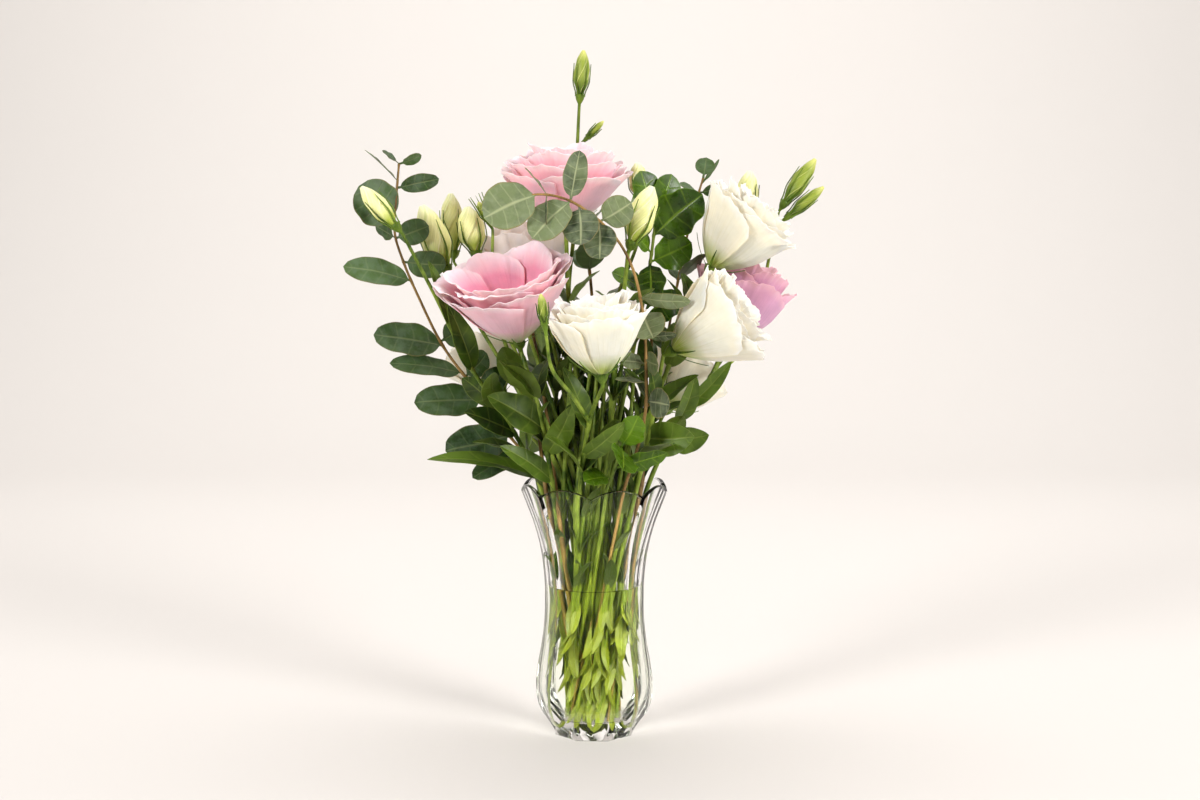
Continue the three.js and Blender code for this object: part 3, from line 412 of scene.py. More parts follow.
@dataclass(frozen=True)
class LeafFinish(Finish):
    """A leaf's skin: a pale midrib, side veins that rise to the edge, and a paler underside.

    A waxy bloom lies on some leaves in whitish patches, which rubs off where it was touched.
    """

    dark: str
    light: str
    rib: str
    edge: str
    back: str
    wax: str
    waxed: float
    veins: float
    veining: float

    def dress(self, tree: bpy.types.NodeTree) -> Inputs:
        """Mixes blade, ribs, edge, wax and underside.

        Args:
            tree: The material's nodes.

        Returns:
            What the shader's inputs get.
        """
        spot = SheetSpot(tree)
        # Blotches of two greens some 10 mm across, and each leaf a little different.
        blotch = add_node(tree, "ShaderNodeTexNoise", {"Vector": spot.place, "Scale": 95, "Detail": 4})
        mixed = add_node(
            tree, "ShaderNodeMath", {0: spot.tint, 1: 0.6, 2: blotch}, operation="MULTIPLY_ADD"
        )
        skin = add_node(tree, "ShaderNodeValToRGB", {0: mixed}, stops=(
            (0.45, self.dark), (1.0, self.light),
        ))
        # The waxy bloom's patches, some 7 mm across.
        patch = add_node(
            tree, "ShaderNodeTexNoise",
            {"Vector": spot.place, "Scale": 140, "Detail": 5, "Roughness": 0.62},
        )
        wax = add_node(tree, "ShaderNodeMapRange", {
            0: patch, 1: 0.42, 2: 0.62, 3: 0.15 * self.waxed, 4: self.waxed,
        })
        # Side veins: lines where along * count - side * lean passes a whole number.
        climb = add_node(tree, "ShaderNodeMath", {0: spot.side, 1: -0.75}, operation="MULTIPLY")
        wander = add_node(
            tree, "ShaderNodeMath", {0: blotch, 1: 0.5, 2: climb}, operation="MULTIPLY_ADD"
        )
        phase = add_node(tree, "ShaderNodeMath", {0: spot.along, 1: self.veins, 2: wander},
                         operation="MULTIPLY_ADD")
        saw = add_node(tree, "ShaderNodeMath", {0: phase, 1: 1.0}, operation="PINGPONG")
        line = add_node(tree, "ShaderNodeMapRange", {0: saw, 1: 0.0, 2: 0.16, 3: 0.45, 4: 0.0})
        rib = add_node(tree, "ShaderNodeMapRange", {0: spot.side, 1: 0.02, 2: 0.09, 3: 1, 4: 0})
        ribs = add_node(tree, "ShaderNodeMath", {0: line, 1: rib}, operation="MAXIMUM")
        drawn = add_node(tree, "ShaderNodeMath", {0: ribs, 1: self.veining}, operation="MULTIPLY")
        hem = add_node(tree, "ShaderNodeMapRange", {0: spot.side, 1: 0.93, 2: 0.99, 3: 0, 4: 0.7})
        behind = add_node(tree, "ShaderNodeMath", {0: spot.under, 1: 0.6}, operation="MULTIPLY")
        for share, code in (
            (wax, self.wax), (drawn, self.rib), (hem, self.edge), (behind, self.back),
        ):
            skin = add_node(
                tree, "ShaderNodeMix", {0: share, 6: skin, 7: linear(code)}, data_type="RGBA"
            )
        relief = add_node(
            tree, "ShaderNodeMath", {0: ribs, 1: -1.0, 2: blotch}, operation="MULTIPLY_ADD"
        )
        return {
            "Base Color": skin,
            "Normal": add_node(
                tree, "ShaderNodeBump", {"Height": relief, "Strength": 0.45, "Distance": 0.0005}
            ),
            "Roughness": add_node(tree, "ShaderNodeMapRange", {
                0: patch, 1: 0.35, 2: 0.65, 3: self.roughness - 0.06, 4: self.roughness + 0.12,
            }),
            "Specular IOR Level": 0.32, **GREEN_GLOW,
        }


@dataclass(frozen=True)
class ClearFinish(Finish):
    """A clear body, glass or water: all its light passes through, bent at a slightly wavy skin."""

    colour: str
    wave: float
    strength: float

    def dress(self, tree: bpy.types.NodeTree) -> Inputs:
        """Lets light through, under a skin with slow waves.

        Args:
            tree: The material's nodes.

        Returns:
            What the shader's inputs get.
        """
        place = add_node(tree, "ShaderNodeTexCoord").outputs["Object"]
        waves = add_node(
            tree, "ShaderNodeTexNoise", {"Vector": place, "Scale": 1000 / self.wave, "Detail": 1}
        )
        return {
            "Base Color": linear(self.colour),
            "Normal": add_node(tree, "ShaderNodeBump", {
                "Height": waves, "Strength": self.strength, "Distance": 0.0005,
            }),
            "Transmission Weight": 1.0,
            # Seen straight on, its skin mirrors less than glass does, as in front of a dark room.
            "Specular Tint": (0.08, 0.08, 0.08, 1),
        }


@dataclass(frozen=True)
class PaperFinish(Finish):
    """A roll of matt background paper: one warm white, with the faintest tooth."""

    colour: str

    def dress(self, tree: bpy.types.NodeTree) -> Inputs:
        """Gives the paper its tone and its tooth.

        Args:
            tree: The material's nodes.

        Returns:
            What the shader's inputs get.
        """
        place = add_node(tree, "ShaderNodeTexCoord").outputs["Object"]
        # The tooth of paper is 0.3 mm, drawn at 3 mm because it is too fine to show from here.
        tooth = add_node(tree, "ShaderNodeTexNoise", {"Vector": place, "Scale": 330, "Detail": 2})
        return {
            "Base Color": linear(self.colour),
            "Normal": add_node(
                tree, "ShaderNodeBump", {"Height": tooth, "Strength": 0.05, "Distance": 0.0003}
            ),
        }


class Hue(Enum):
    """The finishes of blooms and buds."""

    PINK = PetalFinish(
        "Petal, rose pink", "petals_pink", 0.55, 1.4, foot="C8CE80", outside="FFB9C6",
        inside="FF97B0", rim="FFDFE3", vein_and_hem_shade="EC90A2", veining=0.45,
    )
    WHITE = PetalFinish(
        "Petal, cream white", "petals_white", 0.55, 1.4, foot="A9BA3C", outside="FBF1D4",
        inside="FBECCA", rim="FEFAEE", vein_and_hem_shade="E6D9A6", veining=0.5,
    )
    MAUVE = PetalFinish(
        "Petal, mauve", "petals_mauve", 0.55, 1.4, foot="C9B98A", outside="D491B0",
        inside="C87CA2", rim="EAA8BA", vein_and_hem_shade="B26E94", veining=0.6,
    )
    BLUSH = PetalFinish(
        "Petal, blush", "petals_blush", 0.55, 1.4, foot="C9C983", outside="EFD9CC",
        inside="EDCBC4", rim="F7E7DE", vein_and_hem_shade="DDB7AC", veining=0.5,
    )
    CREAM = PetalFinish(
        "Petal, cream", "petals_cream", 0.55, 1.4, foot="B9C068", outside="EFE3C6",
        inside="EBDDB8", rim="F6EFDA", vein_and_hem_shade="D9D0A2", veining=0.5,
    )
    YELLOW_BUD = BudFinish(
        "Bud, cream yellow", "bud_yellow", 0.45, 1.42, foot="A6B548", body="EEECA8",
        tip="FAF7CC", edge="FCFADA",
    )
    GREEN_BUD = BudFinish(
        "Bud, green", "bud_green", 0.45, 1.42, foot="4F6A18", body="8E9C38", tip="DEDC80",
        edge="DDE090",
    )


GREEN_STEM = StemFinish(
    "Stem, green", "stem_leaf", 0.42, 1.42, dark="2E470A", light="87993A", soaked_and_lit="5C6C08",
)
CALYX = StemFinish("Sepal, dark green", "stem_leaf", 0.45, 1.42, dark="2F450D", light="6B8428")
WOODY_STEM = StemFinish(
    "Stem, red-brown", "eucalyptus_leaf", 0.5, 1.42, dark="4E3A1C", light="A5844E",
    patch=20, soaked_and_lit="6C6012",
)
LEAFY_STEM = StemFinish(
    "Stem, olive", "broad_leaf", 0.45, 1.42, dark="34480E", light="748436", soaked_and_lit="6A7A0C",
)
PISTIL = StemFinish("Pistil, yellow-green", "stem_leaf", 0.5, 1.42, dark="A9A63C", light="DDD66E")
STEM_LEAF = LeafFinish(
    "Leaf, lisianthus", "stem_leaf", 0.4, 1.42, dark="182A05", light="50661A", rib="7F8E3C",
    edge="617224", back="5C6C26", wax="717F48", waxed=0.06, veins=7, veining=0.45,
)
GUM_LEAF = LeafFinish(
    "Leaf, eucalyptus, old", "eucalyptus_leaf", 0.46, 1.42, dark="1E300E", light="44582E",
    rib="848F60", edge="766A3E", back="63714C", wax="728270", waxed=0.28, veins=9, veining=0.4,
)
PALE_GUM_LEAF = LeafFinish(
    "Leaf, eucalyptus, young", "eucalyptus_leaf", 0.5, 1.42, dark="16240E", light="69744F",
    rib="B0B48A", edge="867444", back="8A9270", wax="98A186", waxed=0.26, veins=9, veining=0.55,
)
BROAD_LEAF = LeafFinish(
    "Leaf, broad and glossy", "broad_leaf", 0.28, 1.45, dark="1C3002", light="4E6E0C",
    rib="83A02C", edge="5A7A1C", back="6C8A2C", wax="7C9850", waxed=0.05, veins=8, veining=0.5,
)
# A darker copy of the lisianthus leaf: painted shade for the leaves deep in the bunch, between water
# and rim and at the back.
PAINTED_SHADE_LEAF = LeafFinish(
    "Leaf, in the shade", "stem_leaf", 0.4, 1.42, dark="152603", light="3F520F", rib="647428",
    edge="4C5C1C", back="4E5C26", wax="5E6A3C", waxed=0.06, veins=7, veining=0.4,
)
# Yellower and brighter than the leaves above the water: partly their soaked colour, partly painted
# light, as they are lit through the water.
SOAKED_AND_LIT_LEAF = LeafFinish(
    "Leaf, under water", "stem_leaf", 0.4, 1.42, dark="233000", light="6C7A08", rib="93A030",
    edge="646E16", back="6E7812", wax="7A812C", waxed=0.05, veins=7, veining=0.5,
)
GLASS = ClearFinish("Glass, pressed", "clear_glass", 0.0, 1.52, "FFFFFF", wave=9, strength=0.12)
WATER = ClearFinish("Water", "clear_water", 0.0, 1.333, "FCFFF6", wave=30, strength=0.05)
PAPER = PaperFinish("Background paper", "", 0.85, 1.5, "DBD6D2")


# Meshes


class Skin:
    """Gathers the faces of one mesh, from thin closed sheets, tubes and turned bodies."""

    def __init__(self) -> None:
        """Starts with no faces."""
        self.points: list[np.ndarray] = []
        self.sheets: list[np.ndarray] = []
        self.under: list[np.ndarray] = []
        self.tints: list[np.ndarray] = []
        self.faces: list[tuple[int, ...]] = []
        self.count = 0

    def add(self, points: np.ndarray, sheet: np.ndarray, under: float, tint: float) -> int:
        """Adds points.

        Args:
            points: Places in millimetres, one row each.
            sheet: The places across and along the surface, one row each.
            under: 1 for points of a sheet's underside, 0 for the rest.
            tint: A number from 0 to 1 that tells a petal or leaf from its neighbours.

        Returns:
            The number of the first point added.
        """
        first = self.count
        self.points.append(points.reshape(-1, 3))
        self.sheets.append(sheet.reshape(-1, 2))
        size = len(self.points[-1])
        self.under.append(np.full(size, under))
        self.tints.append(np.full(size, tint))
        self.count += size
        return first

    def sheet(self, front: np.ndarray, back: np.ndarray, places: np.ndarray, tint: float) -> None:
        """Adds a thin closed sheet from two grids of points.

        Args:
            front: The side that faces along the grid's row direction crossed with its column
                direction.
            back: The other side.
            places: The places across and along the sheet.
            tint: The sheet's own number from 0 to 1.
        """
        rows, columns = front.shape[:2]
        a = self.add(front, places, 0.0, tint)
        b = self.add(back, places, 1.0, tint)
        for i in range(rows - 1):
            for j in range(columns - 1):
                k = i * columns + j
                self.faces.append((a + k, a + k + columns, a + k + columns + 1, a + k + 1))
                self.faces.append((b + k, b + k + 1, b + k + columns + 1, b + k + columns))
        last = (rows - 1) * columns
        for j in range(columns - 1):
            self.faces.append((a + j, a + j + 1, b + j + 1, b + j))
            k = last + j
            self.faces.append((b + k, b + k + 1, a + k + 1, a + k))
        for i in range(rows - 1):
            k = i * columns
            self.faces.append((b + k, b + k + columns, a + k + columns, a + k))
            k += columns - 1
            self.faces.append((a + k, a + k + columns, b + k + columns, b + k))

    def turned(self, rings: np.ndarray, places: np.ndarray, tint: float = 0.5) -> None:
        """Adds a closed body from rings that run round its axis and up it.

        Args:
            rings: Places by ring and column, where the columns run towards a rising azimuth.
            places: The places across and along the surface.
            tint: The body's own number from 0 to 1.
        """
        rows, columns = rings.shape[:2]
        a = self.add(rings, places, 0.0, tint)
        low = self.add(rings[0].mean(0), places[0].mean(0), 0.0, tint)
        high = self.add(rings[-1].mean(0), places[-1].mean(0), 0.0, tint)
        for i in range(rows - 1):
            for j in range(columns):
                k, n = i * columns + j, i * columns + (j + 1) % columns
                self.faces.append((a + k, a + n, a + n + columns, a + k + columns))
        for j in range(columns):
            n = (j + 1) % columns
            self.faces.append((low, a + n, a + j))
            top = a + (rows - 1) * columns
            self.faces.append((high, top + j, top + n))

    def mesh(self, name: str, material: bpy.types.Material | None, crease: float) -> bpy.types.Mesh:
        """Makes the mesh, in metres.

        Args:
            name: The mesh's name.
            material: Its one material, or none.
            crease: The angle in degrees past which an edge stays sharp.

        Returns:
            The mesh, smooth between its sharp edges.
        """
        mesh = bpy.data.meshes.new(name)
        points = np.concatenate(self.points) * MM
        mesh.from_pydata(points.tolist(), [], self.faces)
        corners = np.empty(len(mesh.loops), int)
        mesh.loops.foreach_get("vertex_index", corners)
        layer = mesh.uv_layers.new(name=SHEET_UV)
        layer.uv.foreach_set("vector", np.concatenate(self.sheets)[corners].ravel())
        for label, values in ((UNDERSIDE, self.under), (TINT, self.tints)):
            mesh.attributes.new(label, "FLOAT", "POINT").data.foreach_set(
                "value", np.concatenate(values)
            )
        mesh.polygons.foreach_set("use_smooth", [True] * len(mesh.polygons))
        mesh.set_sharp_from_angle(angle=math.radians(crease))
        if material:
            mesh.materials.append(material)
        mesh.update()
        return mesh


def show(mesh: bpy.types.Mesh) -> bpy.types.Object:
    """Adds an object for a mesh to the scene, at the origin."""
    piece = bpy.data.objects.new(mesh.name, mesh)
    bpy.context.scene.collection.objects.link(piece)
    return piece


def place_piece(piece: bpy.types.Object, slot: str, *nodes: str) -> bpy.types.Object:
    """Ties a finished piece to the part.

    Args:
        piece: The piece, which stands at the origin.
        slot: The record's material slot of the piece's finish. It is not used.
        nodes: The solids it stands for.

    Returns:
        The same piece.
    """
    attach(piece, BODY)
    if nodes:
        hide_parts(*nodes)
    log.info("%s: %d faces", piece.name, len(piece.data.polygons))
    return piece


# Geometry node groups


@dataclass
class Group:
    """A geometry node group that is built once and applied to many pieces."""

    takes: ClassVar[tuple[tuple[str, str], ...]] = ()
    name: str
    made: bpy.types.NodeTree | None = None
    sockets: dict[str, str] = field(default_factory=dict)

    def tree(self) -> bpy.types.NodeTree:
        """Builds the group the first time it is asked for: real faces with their material.

        Returns:
            The group's tree.
        """
        if self.made is None:
            tree = self.made = bpy.data.node_groups.new(self.name, "GeometryNodeTree")
            face = tree.interface
            face.new_socket("Geometry", in_out="OUTPUT", socket_type="NodeSocketGeometry")
            for label, kind in (("Geometry",) * 2, *self.takes, ("Material",) * 2):
                socket = face.new_socket(label, in_out="INPUT", socket_type=f"NodeSocket{kind}")
                self.sockets[label] = socket.identifier
            given = add_node(tree, "NodeGroupInput").outputs
            real = add_node(tree, "GeometryNodeRealizeInstances", {0: self.build(tree, given)})
            dressed = add_node(tree, "GeometryNodeSetMaterial", {
                "Geometry": real, "Material": given["Material"],
            })
            add_node(tree, "NodeGroupOutput", {0: dressed})
        return self.made

    def build(self, tree: bpy.types.NodeTree, given: bpy.types.NodeOutputs) -> bpy.types.Node:
        """Fills the group with nodes and says which of them holds the shape."""
        raise NotImplementedError

    def apply(self, piece: bpy.types.Object, crease: float, **values: Any) -> bpy.types.Object:
        """Runs the group on a piece and keeps the plain mesh that it makes.

        Args:
            piece: The piece whose mesh goes in.
            crease: The angle in degrees past which an edge stays sharp.
            values: The group's inputs, by name.

        Returns:
            The same piece, with the new mesh and no modifier.
        """
        modifier = piece.modifiers.new(self.name, "NODES")
        modifier.node_group = self.tree()
        for label, value in values.items():
            modifier[self.sockets[label]] = value
        depsgraph = bpy.context.evaluated_depsgraph_get()
        mesh = bpy.data.meshes.new_from_object(
            piece.evaluated_get(depsgraph), preserve_all_data_layers=True, depsgraph=depsgraph
        )
        piece.modifiers.remove(modifier)
        old = piece.data
        mesh.name = old.name
        piece.data = mesh
        bpy.data.meshes.remove(old)
        mesh.set_sharp_from_angle(angle=math.radians(crease))
        return piece


class Sweep(Group):
    """Sweeps a round stalk along each route, as thick as the route says at each of its points."""

    takes = (("Sides", "Int"),)

    def build(self, tree: bpy.types.NodeTree, given: bpy.types.NodeOutputs) -> bpy.types.Node:
        """Fills the group with nodes.

        Args:
            tree: The group's tree.
            given: The group's inputs.

        Returns:
            The node that holds the shape.
        """
        line = add_node(tree, "GeometryNodeMeshToCurve", {"Mesh": given["Geometry"]})
        thick = add_node(
            tree, "GeometryNodeInputNamedAttribute", {"Name": "thickness"}, data_type="FLOAT"
        )
        sized = add_node(tree, "GeometryNodeSetCurveRadius", {"Curve": line, "Radius": thick})
        outline = add_node(
            tree, "GeometryNodeCurvePrimitiveCircle", {"Resolution": given["Sides"], "Radius": 1.0}
        )
        swept = add_node(tree, "GeometryNodeCurveToMesh", {
            "Curve": sized, "Profile Curve": outline, "Fill Caps": True,
        })
        if "Scale" in swept.inputs:
            radius = add_node(tree, "GeometryNodeInputRadius")
            tree.links.new(radius.outputs[0], swept.inputs["Scale"])
        return add_node(tree, "GeometryNodeSetShadeSmooth", {"Geometry": swept})


class Ring(Group):
    """Repeats one panel round the Z axis, joins the copies and stands them in their place."""

    takes = (
        ("Count", "Int"), ("First", "Float"), ("Join", "Float"), ("Place", "Vector"),
        ("Turn", "Vector"),
    )

    def build(self, tree: bpy.types.NodeTree, given: bpy.types.NodeOutputs) -> bpy.types.Node:
        """Fills the group with nodes.

        Args:
            tree: The group's tree.
            given: The group's inputs.

        Returns:
            The node that holds the shape.
        """
        spots = add_node(tree, "GeometryNodeMeshLine", {"Count": given["Count"], "Offset": (0, 0, 0)})
        step = add_node(tree, "ShaderNodeMath", {0: math.tau, 1: given["Count"]}, operation="DIVIDE")
        index = add_node(tree, "GeometryNodeInputIndex")
        angle = add_node(
            tree, "ShaderNodeMath", {0: index, 1: step, 2: given["First"]},
            operation="MULTIPLY_ADD",
        )
        turn = add_node(tree, "ShaderNodeCombineXYZ", {2: angle})
        copies = add_node(tree, "GeometryNodeInstanceOnPoints", {
            "Points": spots, "Instance": given["Geometry"], "Rotation": turn,
        })
        real = add_node(tree, "GeometryNodeRealizeInstances", {0: copies})
        joined = add_node(
            tree, "GeometryNodeMergeByDistance", {"Geometry": real, "Distance": given["Join"]}
        )
        return add_node(tree, "GeometryNodeTransform", {
            "Geometry": joined, "Translation": given["Place"], "Rotation": given["Turn"],
        })


class Pairs(Group):
    """Hangs pairs of leaves along each route, each a quarter turn from the last, more or less."""

    takes = (("Pair", "Object"), ("Spacing", "Float"), ("Wander", "Float"), ("Seed", "Int"))

    def build(self, tree: bpy.types.NodeTree, given: bpy.types.NodeOutputs) -> bpy.types.Node:
        """Fills the group with nodes.

        Args:
            tree: The group's tree.
            given: The group's inputs.

        Returns:
            The node that holds the shape.
        """
        line = add_node(tree, "GeometryNodeMeshToCurve", {"Mesh": given["Geometry"]})
        spots = add_node(
            tree, "GeometryNodeCurveToPoints", {"Curve": line, "Length": given["Spacing"]},
            mode="LENGTH",
        ).outputs
        index = add_node(tree, "GeometryNodeInputIndex")
        less = add_node(tree, "ShaderNodeMath", {0: given["Wander"], 1: -1.0}, operation="MULTIPLY")
        wander = add_node(
            tree, "FunctionNodeRandomValue", {2: less, 3: given["Wander"], "Seed": given["Seed"]},
            data_type="FLOAT",
        )
        quarter = add_node(
            tree, "ShaderNodeMath", {0: index, 1: math.pi / 2, 2: wander.outputs[1]},
            operation="MULTIPLY_ADD",
        )
        spin = add_node(tree, "ShaderNodeCombineXYZ", {2: quarter})
        turn = add_node(
            tree, "FunctionNodeRotateRotation", {0: spots["Rotation"], 1: spin},
            rotation_space="LOCAL",
        )
        size = add_node(
            tree, "FunctionNodeRandomValue", {2: 0.75, 3: 1.1, "Seed": given["Seed"]},
            data_type="FLOAT",
        )
        pair = add_node(tree, "GeometryNodeObjectInfo", {"Object": given["Pair"]})
        return add_node(tree, "GeometryNodeInstanceOnPoints", {
            "Points": spots["Points"], "Instance": pair.outputs["Geometry"], "Rotation": turn,
            "Scale": size.outputs[1],
        })


SWEEP = Sweep("Stalk along its route")
PAIRS = Pairs("Leaf pairs along a shoot")
RING = Ring("Panels round an axis")


# Routes


@dataclass(frozen=True)
class Route:
    """A smooth curve through points, as the part's source lays its stems."""

    points: tuple[Triple, ...]

    def at(self, t: float) -> Vector:
        """Finds a place on the curve.

        Args:
            t: The share of the way, from 0 to 1, with the points spread evenly over it.

        Returns:
            The place, in millimetres.
        """
        p = [Vector(point) for point in self.points]
        whole = (len(p) - 1) * t
        i = min(int(whole), len(p) - 2)
        w = whole - i
        before = p[i - 1] if i > 0 else p[0] * 2 - p[1]
        after = p[i + 2] if i + 2 < len(p) else p[-1] * 2 - p[-2]
        a, b, c, d = before, p[i], p[i + 1], after
        gaps = [math.sqrt((y - x).length) for x, y in ((a, b), (b, c), (c, d))]
        first = ((b - a) / gaps[0] - (c - a) / (gaps[0] + gaps[1]) + (c - b) / gaps[1]) * gaps[1]
        last = ((c - b) / gaps[1] - (d - b) / (gaps[1] + gaps[2]) + (d - c) / gaps[2]) * gaps[1]
        square = (c - b) * 3 - first * 2 - last
        cube = (b - c) * 2 + first + last
        return b + first * w + square * (w * w) + cube * (w * w * w)

    def way(self, t: float) -> Vector:
        """The direction of the curve at a share t of the way."""
        return (self.at(min(t + 1e-4, 1)) - self.at(max(t - 1e-4, 0))).normalized()


@dataclass(frozen=True)
class Line:
    """A route's fine points with the stalk's thickness at each."""

    points: list[Vector]
    thickness: list[float]


def strung(name: str, lines: Iterable[Line]) -> bpy.types.Object:
    """Makes a piece of bare lines, for a node group to follow.

    Args:
        name: The piece's name.
        lines: Where they run and how thick a stalk on them is, in millimetres.

    Returns:
        The piece, with edges and no faces.
    """
    points, edges, thickness = [], [], []
    for line in lines:
        first = len(points)
        points += [tuple(p * MM) for p in line.points]
        edges += [(k, k + 1) for k in range(first, len(points) - 1)]
        thickness += [r * MM for r in line.thickness]
    mesh = bpy.data.meshes.new(name)
    mesh.from_pydata(points, edges, [])
    mesh.attributes.new("thickness", "FLOAT", "POINT").data.foreach_set("value", thickness)
    return show(mesh)


def swept(name: str, lines: Iterable[Line], sides: int, finish: Finish) -> bpy.types.Object:
    """Sweeps round stalks along lines in millimetres, with a number of facets round each."""
    return SWEEP.apply(strung(name, lines), 55, Sides=sides, Material=finish.material())


# Blooms and buds


class Layer(NamedTuple):
    """One round of petals: their length, their share of the bloom's angles and their ruffle."""

    length: float
    share: float
    ruffle: float


def rounds(*sizes: Triple) -> tuple[Layer, ...]:
    """Names the sizes of a bloom's rounds of petals, outermost first."""
    return tuple(Layer(*size) for size in sizes)


@dataclass(frozen=True)
class Form:
    """How a bloom opens: its petals' angles from the axis at foot, bend and rim, and layers.

    The rim's roll is how much further the outermost petals' rims turn down. A petal spans the
    spread to either side of its middle, and is shorter by the corner there. The depths are the
    rounds of fine petals, in layers.
    """

    angles: Triple
    layers: tuple[Layer, ...]
    roll: float
    twist: float
    spread: float
    corner: float
    depths: tuple[float, ...]


class BloomKind(Enum):
    """The forms of the bouquet's blooms."""

    CUP = Form(
        (58, 25, 30), rounds((60, 1, 2), (56, 0.68, 1.8), (50, 0.34, 1.4)), 46, 10,
        spread=60, corner=0.22, depths=(0, 0.5, 1, 1.5, 2),
    )
    BOWL = Form(
        (60, 26, 36), rounds((54, 1, 2.2), (50, 0.68, 1.8), (45, 0.34, 1.4)), 40, 8,
        spread=58, corner=0.16, depths=(0, 0.5, 1, 1.6),
    )
    OPEN = Form(
        (56, 33, 40), rounds((68, 1, 2.6), (64, 0.8, 2.2), (56, 0.56, 1.6)), 56, 4,
        spread=54, corner=0.1, depths=(0, 0.4, 0.9),
    )
    BROAD = Form(
        (64, 40, 50), rounds((62, 1, 2.4), (57, 0.7, 2.2), (50, 0.36, 1.6)), 50, 4,
        spread=54, corner=0.08, depths=(0, 0.5, 1, 1.6),
    )
    TRUMPET = Form(
        (50, 27, 30), rounds((64, 1, 2.4), (59, 0.68, 1.8), (52, 0.4, 1)), 40, 8,
        spread=60, corner=0.22, depths=(0, 0.5, 1, 1.5, 2),
    )
    SMALL = Form(
        (60, 26, 32), rounds((46, 1, 1.8), (41, 0.56, 1.4)), 40, 8,
        spread=50, corner=0.16, depths=(0, 0.5, 1),
    )
    PLAIN = Form(
        (68, 20, 28), rounds((60, 1, 2), (55, 0.56, 1.6)), 40, 8,
        spread=54, corner=0.16, depths=(0, 0.5, 1),
    )


PETALS = 5
PETAL_STEP = 360 / PETALS
PETAL_LAP = 1.2
PETAL_FOOT = ((3, 0), (2.6, 5), (1.8, 9))
PETAL_REACH = 0.88
PETAL_THICKNESS = 0.35
SEPALS = 5
HALF_SEPAL = 180 / SEPALS
CALYX_LENGTH = 8
CALYX_RADIUS = 4.3
SEPAL_SPACE = 2.4
BUD_SWELL: Table = ((0, 0.3), (0.12, 0.6), (0.36, 1), (0.62, 0.96), (0.85, 0.68), (1, 0.22))


@dataclass(frozen=True)
class Flower:
    """Where a bloom or bud stands: the foot of its petals and the way it leans."""

    name: str

    def standing(self) -> Quaternion:
        """The turn that takes the Z axis to the flower's lean."""
        return UP.rotation_difference(Vector(self.lean).normalized())

    def stood(self, points: np.ndarray) -> np.ndarray:
        """Moves points made about the Z axis, in millimetres, to where the flower stands."""
        matrix = np.array(self.standing().to_matrix())
        return points @ matrix.T + np.array(self.base, float)

    def calyx_foot(self) -> Vector:
        """The bottom of the green cup, where its stem ends."""
        return Vector(self.base) - Vector(self.lean).normalized() * CALYX_LENGTH

    def ring(self, piece: bpy.types.Object, crease: float, **values: Any) -> None:
        """Repeats a piece made about the Z axis round the flower's own axis."""
        turn = tuple(self.standing().to_euler())
        RING.apply(piece, crease, Place=tuple(Vector(self.base) * MM), Turn=turn, **values)


def petal_profile(
    angles: Triple, length: float, share: float, foot: Sequence[float], roll: float = 0
) -> Callable[[np.ndarray], tuple[np.ndarray, np.ndarray]]:
    """Works out the line that a petal follows from its foot to its rim.

    Args:
        angles: Degrees from the axis at foot, bend and rim.
        length: The line's length in millimetres.
        share: The share of the angles that the petal takes.
        foot: The foot's distance from the axis and its height.
        roll: How many degrees more the last sixth turns out.

    Returns:
        A function from shares of the length to distances from the axis and heights.
    """
    steps = 48
    middle = (np.arange(steps) + 0.5) / steps
    turn = share * np.interp(middle, (0, 0.55, 1), angles)
    turn = np.radians(turn + roll * np.clip((middle - 0.84) / 0.16, 0, 1) ** 1.5)
    r = np.concatenate(([foot[0]], foot[0] + np.cumsum(np.sin(turn)) * length / steps))
    z = np.concatenate(([foot[1]], foot[1] + np.cumsum(np.cos(turn)) * length / steps))
    stations = np.linspace(0, 1, steps + 1)
    return lambda u: (np.interp(u, stations, r), np.interp(u, stations, z))


